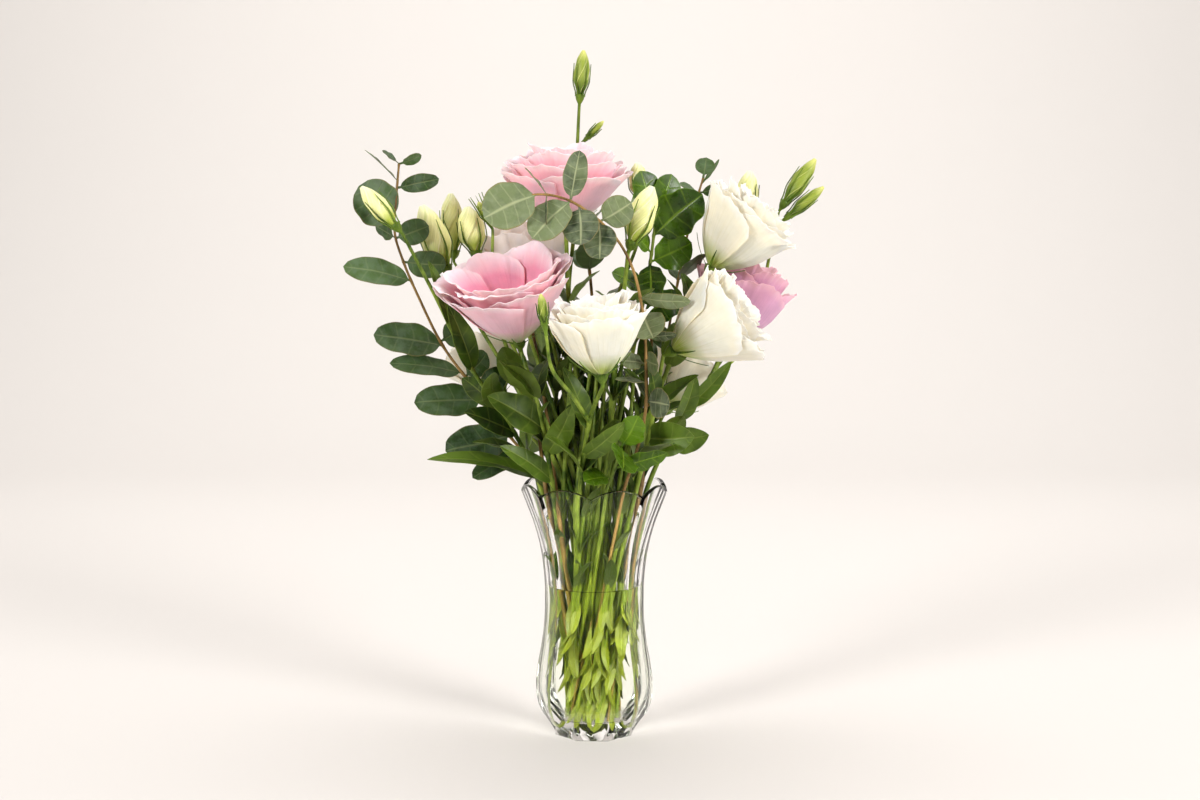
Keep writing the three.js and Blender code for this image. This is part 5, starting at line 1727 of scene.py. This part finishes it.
STEMS = (
    Stem(
        "stem_pink_front", radius=2.1, rim=-48, end="bloom_pink_front", up=((-36, -34, 225),),
        leaves=(
            (0.8, (-70, -46, 238), 24, 20), (0.15, (-62, -46, 205), 15, 20),
            (1.3, (-62, -52, 262), 15, 40), (0.5, (-14, -50, 232), 17, 20),
        ),
        pairs=((0.6, 80, 42, 18), (1.2, 150, 40, 18)),
    ),
    Stem(
        "stem_white_front", radius=2, rim=-15, end="bloom_white_front", up=((-3, -56, 222),),
        branches=(Branch(at=1, via=((-14, -92, 243), (-26, -114, 262)), end="bud_between"),),
        leaves=((0.9, (-20, -62, 258), 14, 25), (0.5, (20, -56, 222), 14, 30)),
        pairs=((0.3, 95, 40, 17),),
    ),
    Stem(
        "stem_white_right", radius=2, rim=50, end="bloom_white_right", up=((38, -36, 218),),
        leaves=((0.8, (66, -46, 211), 24, 20), (1.3, (34, -56, 262), 13, 30)),
        pairs=((0.4, 10, 42, 20), (1.2, 110, 38, 16)),
    ),
    Stem(
        "stem_far_left", radius=1.8, rim=-82, end="bud_far_left",
        up=((-56, -16, 214), (-84, -24, 258), (-104, -27, 300)),
        leaves=(
            (1.9, (-96, -38, 297), 17, 30), (0.15, (-112, -24, 193), 18, 50),
            (0.9, (-86, -34, 226), 20, 30), (2.6, (-98, -40, 326), 9, 40),
        ),
        pairs=((0.5, 100, 42, 18), (1.3, 30, 40, 17)),
    ),
    Stem(
        "stem_cream_buds", ring=StemRing.INNER, radius=1.9, rim=-95, end="bud_cream_right",
        up=((-44, 8, 222), (-64, 17, 276)),
        branches=(
            Branch(at=2, via=((-84, 14, 296),), end="bud_cream_front"),
            Branch(at=2, via=((-84, 35, 302),), end="bud_cream_back"),
        ),
        pairs=((0.5, 90, 42, 18), (1.3, 0, 40, 18)),
    ),
    Stem(
        "stem_white_high", ring=StemRing.INNER, radius=2, rim=80, end="bloom_white_high",
        up=((42, -6, 232), (62, -12, 285)),
        leaves=((2.3, (58, -26, 318), 12, 30),),
        pairs=((0.6, 90, 42, 18), (1.4, 10, 40, 18), (2, 100, 34, 15)),
    ),
    Stem(
        "stem_mauve", radius=2, rim=82, end="bloom_mauve", up=((58, 4, 216), (80, 11, 246)),
        branches=(
            Branch(
                at=2, via=((104, 47, 262), (119, 60, 302), (125, 52, 335)), end="bud_right_high",
            ),
            Branch(at=2, via=((96, 50, 268), (102, 62, 312)), end="bud_behind_white"),
        ),
        twigs=(Branch(on=0, at=3, via=((130, 42, 346),), end="bud_right_low"),),
        leaves=(
            (1.3, (93, -8, 258), 12, 20), (1, (68, -18, 250), 14, 30),
            (0.7, (78, -10, 208), 20, 30),
        ),
        pairs=((0.5, 0, 38, 16),),
    ),
    Stem(
        "stem_pink_back", ring=StemRing.MIDDLE, radius=2.2, rim=-60, end="bloom_pink_back",
        up=((-12, 8, 250), (-18, 8, 310)),
        branches=(
            Branch(at=1.2, via=((-18, 44, 302), (-14, 58, 350), (-12, 58, 405)), end="bud_top"),
        ),
        twigs=(Branch(on=0, at=3, via=(), end="bud_top_side"),),
        pairs=((0.4, 70, 42, 18), (1.1, 160, 40, 18), (1.7, 70, 34, 16)),
    ),
    Stem(
        "stem_blush", ring=StemRing.INNER, radius=2, rim=-155, end="bloom_blush",
        up=((-28, 36, 232), (-41, 45, 268)),
        branches=(Branch(at=1.6, via=((-50, 30, 286), (-68, 8, 318)), end="bud_small_left"),),
        leaves=((1.5, (-40, 82, 282), 22, 180),),
        pairs=((0.4, 140, 42, 18), (1.2, 40, 40, 18)),
    ),
    Stem(
        "stem_mid_bud", ring=StemRing.INNER, radius=2, rim=20, end="bud_mid_right",
        up=((12, -20, 232), (18, -33, 288)),
        branches=(Branch(at=1.6, via=((16, 2, 300), (30, 30, 338)), end="bud_behind_pink"),),
        leaves=((1.8, (-14, -46, 300), 16, 40),),
        pairs=((0.3, 10, 42, 18), (1, 100, 40, 18), (1.5, 20, 34, 17), (2, 110, 30, 14)),
    ),
    Stem(
        "stem_cream_right", radius=1.9, rim=147, end="bloom_cream_right", up=((38, 34, 196),),
        leaves=((0.6, (46, 76, 206), 22, 180),),
    ),
    Stem(
        "stem_cream_left", radius=1.9, rim=-148, end="bloom_cream_left", up=((-48, 38, 206),),
        leaves=((0.6, (-52, 78, 214), 22, 180),),
    ),
    Stem(
        "eucalyptus_left", kind=Leaf.EUCALYPTUS, radius=1.15, rim=-114,
        up=(
            (-58, 8, 205), (-84, 3, 241), (-103, 0, 268), (-118, -2, 299), (-129, -2, 325),
            (-135, 0, 345), (-134, 3, 368), (-132, 4, 391),
        ),
        leaves=(
            (8, (-143, 2, 400), 9, 60), (8, (-117, 6, 397), 9, 60), (7.5, (-154, -4, 400), 13, 80),
            (7.3, (-105, 4, 381), 13, 40), (6.3, (-158, -6, 376), 34, 15),
            (5.8, (-147, -8, 349), 16, 40), (5.8, (-113, 8, 348), 18, 30),
            (5, (-103, 12, 322), 20, 30), (4.5, (-169, -8, 322), 20, 15),
            (3, (-149, -9, 276), 26, 20), (3.1, (-88, 9, 281), 20, 35),
            (2.3, (-138, -12, 257), 18, 30), (2.2, (-74, 14, 262), 18, 40),
            (1.7, (-122, -9, 230), 25, 15), (1.8, (-62, 14, 250), 20, 40),
            (1, (-101, -10, 197), 29, 15), (0.7, (-83, -6, 178), 17, 20),
        ),
    ),
    Stem(
        "eucalyptus_arch", kind=Leaf.YOUNG_EUCALYPTUS, radius=1.15, rim=32,
        up=(
            (29, -43, 204), (34, -49, 230), (34, -55, 255), (33, -58, 280), (30, -60, 303),
            (25, -61, 322), (16, -62, 339), (4, -63, 352), (-15, -64, 365), (-30, -63, 369),
            (-43, -62, 368), (-56, -60, 360),
        ),
        leaves=(
            (5, (65, -64, 303), 12, 45), (4.6, (38, -76, 278), 24, 10),
            (3.9, (54, -60, 280), 10, 65), (3.9, (18, -56, 276), 9, 65),
            (3.3, (50, -62, 262), 16, 30), (3.2, (18, -58, 262), 15, 30),
            (2.7, (14, -58, 250), 10, 60), (2.2, (54, -54, 236), 20, 20),
            (10.5, (-70, -68, 354), 34, 10), (12, (-72, -62, 359), 8, 50),
            (10, (-44, -68, 386), 10, 75), (10, (-30, -72, 350), 10, 75),
            (9, (-9, -66, 397), 16, 20), (9, (-39, -74, 341), 26, 15),
            (8.7, (-8, -76, 337), 24, 10), (8, (4, -74, 328), 22, 15), (8, (24, -66, 364), 22, 30),
        ),
    ),
    Stem(
        "eucalyptus_right", kind=Leaf.EUCALYPTUS, radius=1.1, rim=114,
        up=((44, 26, 235), (56, 28, 300), (66, 26, 350), (72, 24, 372), (75, 24, 382)),
        leaves=(
            (5, (77, 21, 396), 14, 0), (4, (58, 20, 378), 10, 50), (4, (91, 26, 376), 10, 50),
            (4.6, (86, 26, 395), 4, 60),
        ),
        pairs=((1.4, 150, 30, 20), (2.2, 60, 28, 20)),
    ),
    Stem(
        "eucalyptus_back", kind=Leaf.EUCALYPTUS, radius=1.5, rim=180,
        up=((2, 56, 215), (0, 74, 258), (-2, 86, 300), (-6, 90, 340), (-8, 88, 372)),
        leaves=((4.9, (-9, 88, 390), 13, 0),),
        pairs=(
            (1, 90, 32, 24), (1.8, 10, 34, 26), (2.6, 90, 34, 26), (3.4, 10, 30, 22),
            (4.2, 90, 24, 18),
        ),
    ),
    Stem(
        "greenery_mid", kind=Leaf.BROAD, ring=StemRing.INNER, radius=1.5, rim=140,
        up=((20, 6, 235), (32, 2, 290), (38, -4, 325), (41, -8, 350)),
        leaves=(
            (4, (31, -10, 386), 26, 20), (4, (52, -4, 384), 24, 25), (3.7, (73, -14, 371), 32, 15),
            (3, (66, -2, 338), 26, 25), (3.2, (20, -14, 350), 20, 40), (3, (38, -20, 296), 22, 15),
            (2, (60, 10, 300), 24, 30), (1.4, (6, -8, 262), 22, 40), (2.4, (12, -4, 318), 22, 40),
        ),
    ),
    Stem(
        "greenery_low", kind=Leaf.BROAD, radius=1.5, rim=12, up=((14, -43, 190), (18, -46, 204)),
        leaves=(
            (2, (-3, -60, 200), 26, 15), (1, (48, -52, 201), 14, 35), (0.6, (-8, -48, 184), 20, 45),
            (2, (30, -56, 226), 20, 20),
        ),
    ),
)

FLOWERS: dict[str, Bloom | Bud] = {flower.name: flower for flower in (*BLOOMS, *BUDS)}


# Vase and water


GLASS_CREASE = 13


@dataclass(frozen=True)
class Vase:
    """The vase: heavy base with cut facets, eight hollow flutes and a scalloped rim."""

    height: float = 175
    foot: float = 28.5
    flutes: int = 8
    ridge: float = -2.5
    drop: float = 6
    floor: float = 14
    cut: tuple[float, float] = (14, 3)
    shoulder: float = 20
    lip: float = 0.8
    level: tuple[float, float] = (110, 140)
    outside: Table = (
        (0, 28), (3, 30), (9.5, 34.3), (21, 39.3), (34, 40.4), (49, 38.8), (60, 36.8),
        (72, 35.1), (85, 34.2), (100, 34.1), (112, 34.8), (125, 36.3), (138, 38.9),
        (150, 42.2), (162, 46.2), (175, 50.5),
    )
    depth: Table = ((0, 3), (34, 3.2), (85, 2.2), (175, 1.6))
    inside: Table = (
        (14, 19), (24, 29.3), (38, 31.6), (58, 29.9), (80, 28.1), (104, 28.2), (122, 30.1),
        (140, 34.2), (158, 39.8), (175, 46),
    )

    def outside_radius(self, z: np.ndarray, s: np.ndarray) -> np.ndarray:
        """The radius outside at heights and at offsets across a flute, from -1 to 1."""
        return eased(self.outside, z) - eased(self.depth, z) * (1 - s * s)

    def panel(self) -> Skin:
        """Makes one flute with its share of base, rim, inner wall and floor.

        Returns:
            The panel, from the middle of the foot up the outside and down the inside.
        """
        s = np.linspace(-1, 1, 25)
        cut = self.cut[1] + (self.cut[0] - self.cut[1]) * np.abs(s)
        top = self.height - self.lip
        lip_out, lip_in = self.outside_radius(top, s), float(eased(self.inside, self.height))

        def scallop(z: np.ndarray) -> np.ndarray:
            """Lowers a height towards the ridges, as the rim dips there."""
            return z - self.drop * s * s * (z / self.height) ** 6

        # The foot has a corner mid flute, so that the cut facets below the ridges are flat.
        half = math.radians(180 / self.flutes)
        foot = self.foot * math.cos(half) / np.cos(half * (1 - np.abs(s)))
        rows = [(0, 0), (12, 0), (foot - 0.6, 0), (foot, 0.5)]
        low = self.outside_radius(cut, s)
        for share in (0.3, 0.6, 0.9, 1):
            rows.append((foot + (low - foot) * share, 0.5 + (cut - 0.5) * share))
        for share in (0.12, 0.3, 0.5, 0.75, 1):
            z = cut + (self.shoulder - cut) * share
            rows.append((self.outside_radius(z, s), z))
        for z in np.linspace(self.shoulder, top, 78)[1:]:
            rows.append((self.outside_radius(z, s), scallop(z)))
        quarter = np.linspace(0, math.pi / 2, 7)
        for r, turns in (
            (lip_out - self.lip, quarter[1:]), (lip_in + self.lip, math.pi / 2 + quarter[:-1]),
        ):
            for turn in turns:
                rise = scallop(top) + self.lip * math.sin(turn)
                rows.append((r + self.lip * math.cos(turn), rise))
        for z in np.linspace(top, self.floor + 1, 78):
            share = np.interp(z, self.level, (0, 1))
            rows.append((eased(self.inside, z), z * (1 - share) + scallop(z) * share))
        for r in (18.4, 16.5, 10, 0):
            rows.append((r, self.floor + 0.4 * (r / self.inside[0][1]) ** 6))
        azimuth = np.radians(self.ridge + 180 / self.flutes * (1 + s))
        skin = Skin()
        places = np.stack(np.meshgrid((s + 1) / 2, np.linspace(0, 1, len(rows))), -1)
        a = skin.add(np.array([around(r, azimuth, z) for r, z in rows]), places, 0.0, 0.5)
        columns = len(s)
        for i in range(len(rows) - 1):
            for j in range(columns - 1):
                k = a + i * columns + j
                skin.faces.append((k, k + 1, k + columns + 1, k + columns))
        return skin

    def build(self) -> None:
        """Repeats the panel round the axis and puts the glass in place."""
        piece = show(self.panel().mesh("vase_glass", None, 12))
        RING.apply(
            piece, GLASS_CREASE, Count=self.flutes, First=0.0, Join=JOIN, Place=(0.0, 0.0, 0.0),
            Turn=(0.0, 0.0, 0.0), Material=GLASS.material(),
        )
        close_poles(piece.data)
        # Clear glass hardly shades what stands in it or behind it.
        piece.visible_shadow = False
        place_piece(piece, GLASS.slot, "vase")


def close_poles(mesh: bpy.types.Mesh) -> None:
    """Drops the faces that merging left with fewer than three corners, or with no area.

    Args:
        mesh: The mesh, whose poles were made of squashed squares.
    """
    work = bmesh.new()
    work.from_mesh(mesh)
    bmesh.ops.dissolve_degenerate(work, edges=work.edges, dist=1e-6)
    work.to_mesh(mesh)
    work.free()
    mesh.polygons.foreach_set("use_smooth", [True] * len(mesh.polygons))
    mesh.set_sharp_from_angle(angle=math.radians(GLASS_CREASE))


@dataclass(frozen=True)
class Water:
    """The water: it fills the vase to its level and creeps a little up the glass."""

    vase: Vase
    level: float = 103
    overlap: float = 0.15

    def build(self) -> None:
        """Turns the water's outline round the axis and puts it in place."""
        floor = self.vase.floor
        rows = [(6.0, floor - self.overlap), (14.0, floor - self.overlap)]
        rows += [
            (float(eased(self.vase.inside, z)) + self.overlap, float(z))
            for z in np.linspace(floor + 0.3, self.level + 1, 52)
        ]
        wall = rows[-1][0]
        rows += [(wall - d, self.level + h) for d, h in (
            (0.5, 0.75), (1.0, 0.4), (1.8, 0.15), (3.0, 0.02), (6.0, 0), (16.0, 0), (24.0, 0),
        )]
        a = np.arange(96) / 96 * math.tau
        skin = Skin()
        places = np.stack(np.meshgrid(a / math.tau, np.linspace(0, 1, len(rows))), -1)
        skin.turned(np.array([around(r, a, z) for r, z in rows]), places)
        piece = show(skin.mesh("water_body", WATER.material(), 35))
        piece.visible_shadow = False
        place_piece(piece, WATER.slot, "water")


@dataclass(frozen=True)
class Undergrowth:
    """The flowerless shoots that fill the bunch: bare below, leafy in the water and above.

    Their lowest leaves float in the water, and the next stand between water and rim.
    """

    shoots: int = 14
    bare: int = 8
    golden: float = 0.382
    top: float = 300
    waist: float = 84
    mouth: float = 166
    ends: tuple[Triple, ...] = (
        (-84, 30, 286), (-68, 26, 292), (-52, 26, 294), (-34, 24, 292), (-18, 22, 286),
        (24, -18, 282), (34, 6, 300),
    )
    wood: tuple[tuple[Triple, ...], ...] = (
        ((-8, 9, 16), (-19, -9, 88), (-31, -17, 160), (-42, 2, 232), (-60, 20, 290)),
        ((9, 8, 16), (19, -6, 88), (30, -16, 160), (38, 6, 230), (40, 24, 290)),
        ((4, -9, 16), (-14, -14, 88), (-24, -24, 160), (-34, -2, 232), (-44, 26, 284)),
    )

    def routes(self) -> list[Route]:
        """Lays the shoots from the floor of the vase through its mouth.

        Returns:
            The leafy shoots' routes, then those of the bare ones.
        """
        found = []
        for k in range(self.shoots + self.bare):
            leafy = k < self.shoots
            own, other = chance(k, 5), chance(k, 9)
            turn = 360 * k * self.golden + 30 * own
            near = 9 + 4 * other if leafy else 2 + 7 * other
            foot = heading(turn) * near + UP * (15.5 + 2 * own)
            waist = heading(turn + 50) * (near * 1.1 + 8.5) + UP * self.waist
            mouth = heading(turn + 80) * (17 + 15 * own) + UP * self.mouth
            top = heading(turn + 95) * (16 + 22 * other) + UP * (226 + 34 * own)
            top.y += 14 if top.y < 0 else 4
            found.append(Route(tuple(tuple(p) for p in (foot, waist, mouth, top))))
        for k, end in enumerate(self.ends):
            foot = heading(50 * k + 20) * (3 + chance(k, 3) * 6)
            waist = heading(50 * k + 60) * (5 + chance(k, 4) * 7)
            mouth = Vector((end[0] * 0.2, -14 - 9 * chance(k, 6), 168))
            bend = Vector((end[0] * 0.55, end[1] * 0.3 - 16, 228))
            found.append(Route((
                (foot.x, foot.y, 16), (waist.x, waist.y, 90), tuple(mouth), tuple(bend), end,
            )))
        return found

    def piece_of(self, route: Route, low: float, high: float, radius: float) -> Line:
        """Cuts the line of a route between two heights.

        Args:
            route: The route.
            low: The height it starts at.
            high: The height it ends at.
            radius: The stalk's radius at the foot of the route.

        Returns:
            Points some 3 mm apart, with the thickness at each.
        """
        shares = [k / 90 for k in range(91)]
        points = [(route.at(t), radius * (1 - 0.45 * t)) for t in shares]
        kept = [(p, r) for p, r in points if low <= p.z <= high]
        return Line([p for p, _ in kept], [r for _, r in kept])

    def hang(self, name: str, lines: list[Line], leaf: Leaf, sizes: Triple, spacing: float) -> None:
        """Hangs pairs of leaves along lines.

        Args:
            name: The piece's name.
            lines: Where the shoots run.
            leaf: The kind of leaf.
            sizes: A leaf's length, width and pitch from the shoot in degrees.
            spacing: Millimetres from pair to pair.
        """
        length, width, pitch = sizes
        rise, out = math.cos(math.radians(pitch)), math.sin(math.radians(pitch))
        skin = Skin()
        for side in (1, -1):
            chord = Vector((side * out, 0, rise)) * length
            face = Vector((-side * rise, 0, out)) * (1 if rise > 0 else -1)
            blade = Blade(Vector((side, 0, 0)), chord, face, width)
            blade.add_to(skin, leaf.value, 0.3 + 0.3 * side)
        pair = show(skin.mesh(name + "_pair", None, 50))
        piece = PAIRS.apply(
            strung(name, lines), 50, Pair=pair, Spacing=spacing * MM, Wander=0.6, Seed=7,
            Material=leaf.value.finish.material(),
        )
        bpy.data.meshes.remove(pair.data)
        place_piece(piece, leaf.value.finish.slot)

    def build(self) -> None:
        """Makes the shoots and hangs their leaves."""
        routes = self.routes()
        lines = [self.piece_of(route, 0, self.top, 2.3) for route in routes]
        place_piece(swept("undergrowth_stalks", lines, 10, GREEN_STEM), GREEN_STEM.slot)
        woody = [self.piece_of(Route(points), 0, self.top, 1.9) for points in self.wood]
        place_piece(swept("undergrowth_woody_stalks", woody, 10, WOODY_STEM), WOODY_STEM.slot)
        leafy = routes[:self.shoots]
        rear = [route for route in leafy if route.points[-1][1] > 4]
        for name, shoots, low, high, leaf, sizes, spacing in (
            ("undergrowth_sunk_leaves", leafy, 34, 98, Leaf.SUNK, (29, 8, 160), 12),
            ("undergrowth_vase_leaves", leafy, 104, 156, Leaf.INNER, (26, 9, 24), 17),
            ("undergrowth_leaves", rear, self.mouth, self.top, Leaf.INNER, (34, 12, 36), 19),
        ):
            bare = [self.piece_of(route, low, high, 1) for route in shoots]
            self.hang(name, bare, leaf, sizes, spacing)


# Studio


@dataclass(frozen=True)
class Studio:
    """The pale paper that the vase stands on, the soft lights and the camera."""

    reach: float = 4.0
    back: float = 1.3
    sweep: float = 1.3

    def floor(self) -> None:
        """Rolls the paper out under the vase and up behind it."""
        turns = np.linspace(0, math.pi / 2, 17)
        line = [(-3.0, 0.0), (-1.0, 0.0), (0.0, 0.0)]
        line += [
            (self.back + self.sweep * math.sin(t), self.sweep * (1 - math.cos(t))) for t in turns
        ]
        line.append((self.back + self.sweep, 3.6))
        across = np.linspace(self.reach, -self.reach, 9)
        points, faces = [], []
        for y, z in line:
            points += [(x, y, z) for x in across]
        for i in range(len(line) - 1):
            for j in range(8):
                k = i * 9 + j
                faces.append((k, k + 9, k + 10, k + 1))
        mesh = bpy.data.meshes.new("paper")
        mesh.from_pydata(points, [], faces)
        mesh.polygons.foreach_set("use_smooth", [True] * len(mesh.polygons))
        mesh.materials.append(PAPER.material())
        show(mesh)

    def lamp(self, name: str, at: Triple, to: Triple, size: float, power: float) -> None:
        """Hangs a square soft box.

        Args:
            name: The lamp's name.
            at: Its place in metres.
            to: The place that it looks at, in metres.
            size: Its side in metres.
            power: Its power in watts.
        """
        light = bpy.data.lights.new(name, "AREA")
        light.shape = "SQUARE"
        light.size = size
        light.energy = power
        light.color = linear("FFFEFC")[:3]
        lamp = bpy.data.objects.new(name, light)
        lamp.location = at
        aim = Vector(to) - Vector(at)
        lamp.rotation_euler = aim.to_track_quat("-Z", "Y").to_euler()
        bpy.context.scene.collection.objects.link(lamp)

    def light(self) -> None:
        """Hangs the soft boxes and sets the room's own light, darker behind the camera."""
        bouquet = (0, 0, 0.25)
        self.lamp("key", (1.8, -1.7, 1.05), bouquet, 0.9, 66)
        self.lamp("second_key", (-1.8, -1.8, 1.15), bouquet, 0.7, 52)
        self.lamp("top", (0.1, 0.2, 2.4), bouquet, 2.0, 15)
        self.lamp("backdrop", (0, 0.7, 2.2), (0, 2.6, 1.0), 2.0, 38)
        world = bpy.data.worlds.new("room")
        world.use_nodes = True
        tree = world.node_tree
        tree.nodes.clear()
        way = add_node(tree, "ShaderNodeTexCoord").outputs["Generated"]
        ahead = add_node(tree, "ShaderNodeSeparateXYZ", {0: way}).outputs[1]
        room = add_node(tree, "ShaderNodeMapRange", {0: ahead, 1: -1.0, 2: 0.4, 3: 0.0, 4: 1.0})
        tone = add_node(tree, "ShaderNodeValToRGB", {0: room}, stops=(
            (0.0, "4A4948"), (0.35, "646260"), (0.75, "F4F2F0"),
        ))
        shade = add_node(tree, "ShaderNodeBackground", {"Color": tone, "Strength": 0.6})
        add_node(tree, "ShaderNodeOutputWorld", {"Surface": shade})
        bpy.context.scene.world = world

    def camera(self) -> None:
        """Stands the camera where the portrait was taken from."""
        lens = bpy.data.cameras.new("camera")
        lens.lens = 53.4
        lens.sensor_width = 36
        eye = bpy.data.objects.new("camera", lens)
        eye.location = (0.004, -1.21, 0.347)
        eye.rotation_euler = (math.radians(90 - 5.48), 0, 0)
        bpy.context.scene.collection.objects.link(eye)
        bpy.context.scene.camera = eye

    def build(self) -> None:
        """Sets up paper, lights and camera."""
        self.camera()
        self.floor()
        self.light()
        bpy.context.scene.view_settings.view_transform = "Standard"
        # Light runs far along the vase's thick walls before it leaves them.
        bpy.context.scene.cycles.max_bounces = 48
        bpy.context.scene.cycles.transmission_bounces = 48


def main() -> None:
    """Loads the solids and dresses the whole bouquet."""
    logging.basicConfig(level=logging.INFO, format="%(name)s: %(message)s")
    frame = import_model()
    Studio().build()
    vase = Vase()
    vase.build()
    Water(vase).build()
    for flower in FLOWERS.values():
        flower.build()
    for stem in STEMS:
        stem.build(tips_of(frame["nodes"][stem.name]))
    Undergrowth().build()


def tips_of(solid: bpy.types.Object) -> KDTree:
    """Gathers a solid's corners, to find a leaf's tip among them.

    Args:
        solid: The object of a solid of the part.

    Returns:
        A tree of its corners, in metres.
    """
    corners = solid.data.vertices
    tree = KDTree(len(corners))
    for k, corner in enumerate(corners):
        tree.insert(corner.co, k)
    tree.balance()
    return tree


if __name__ == "__main__":
    main()
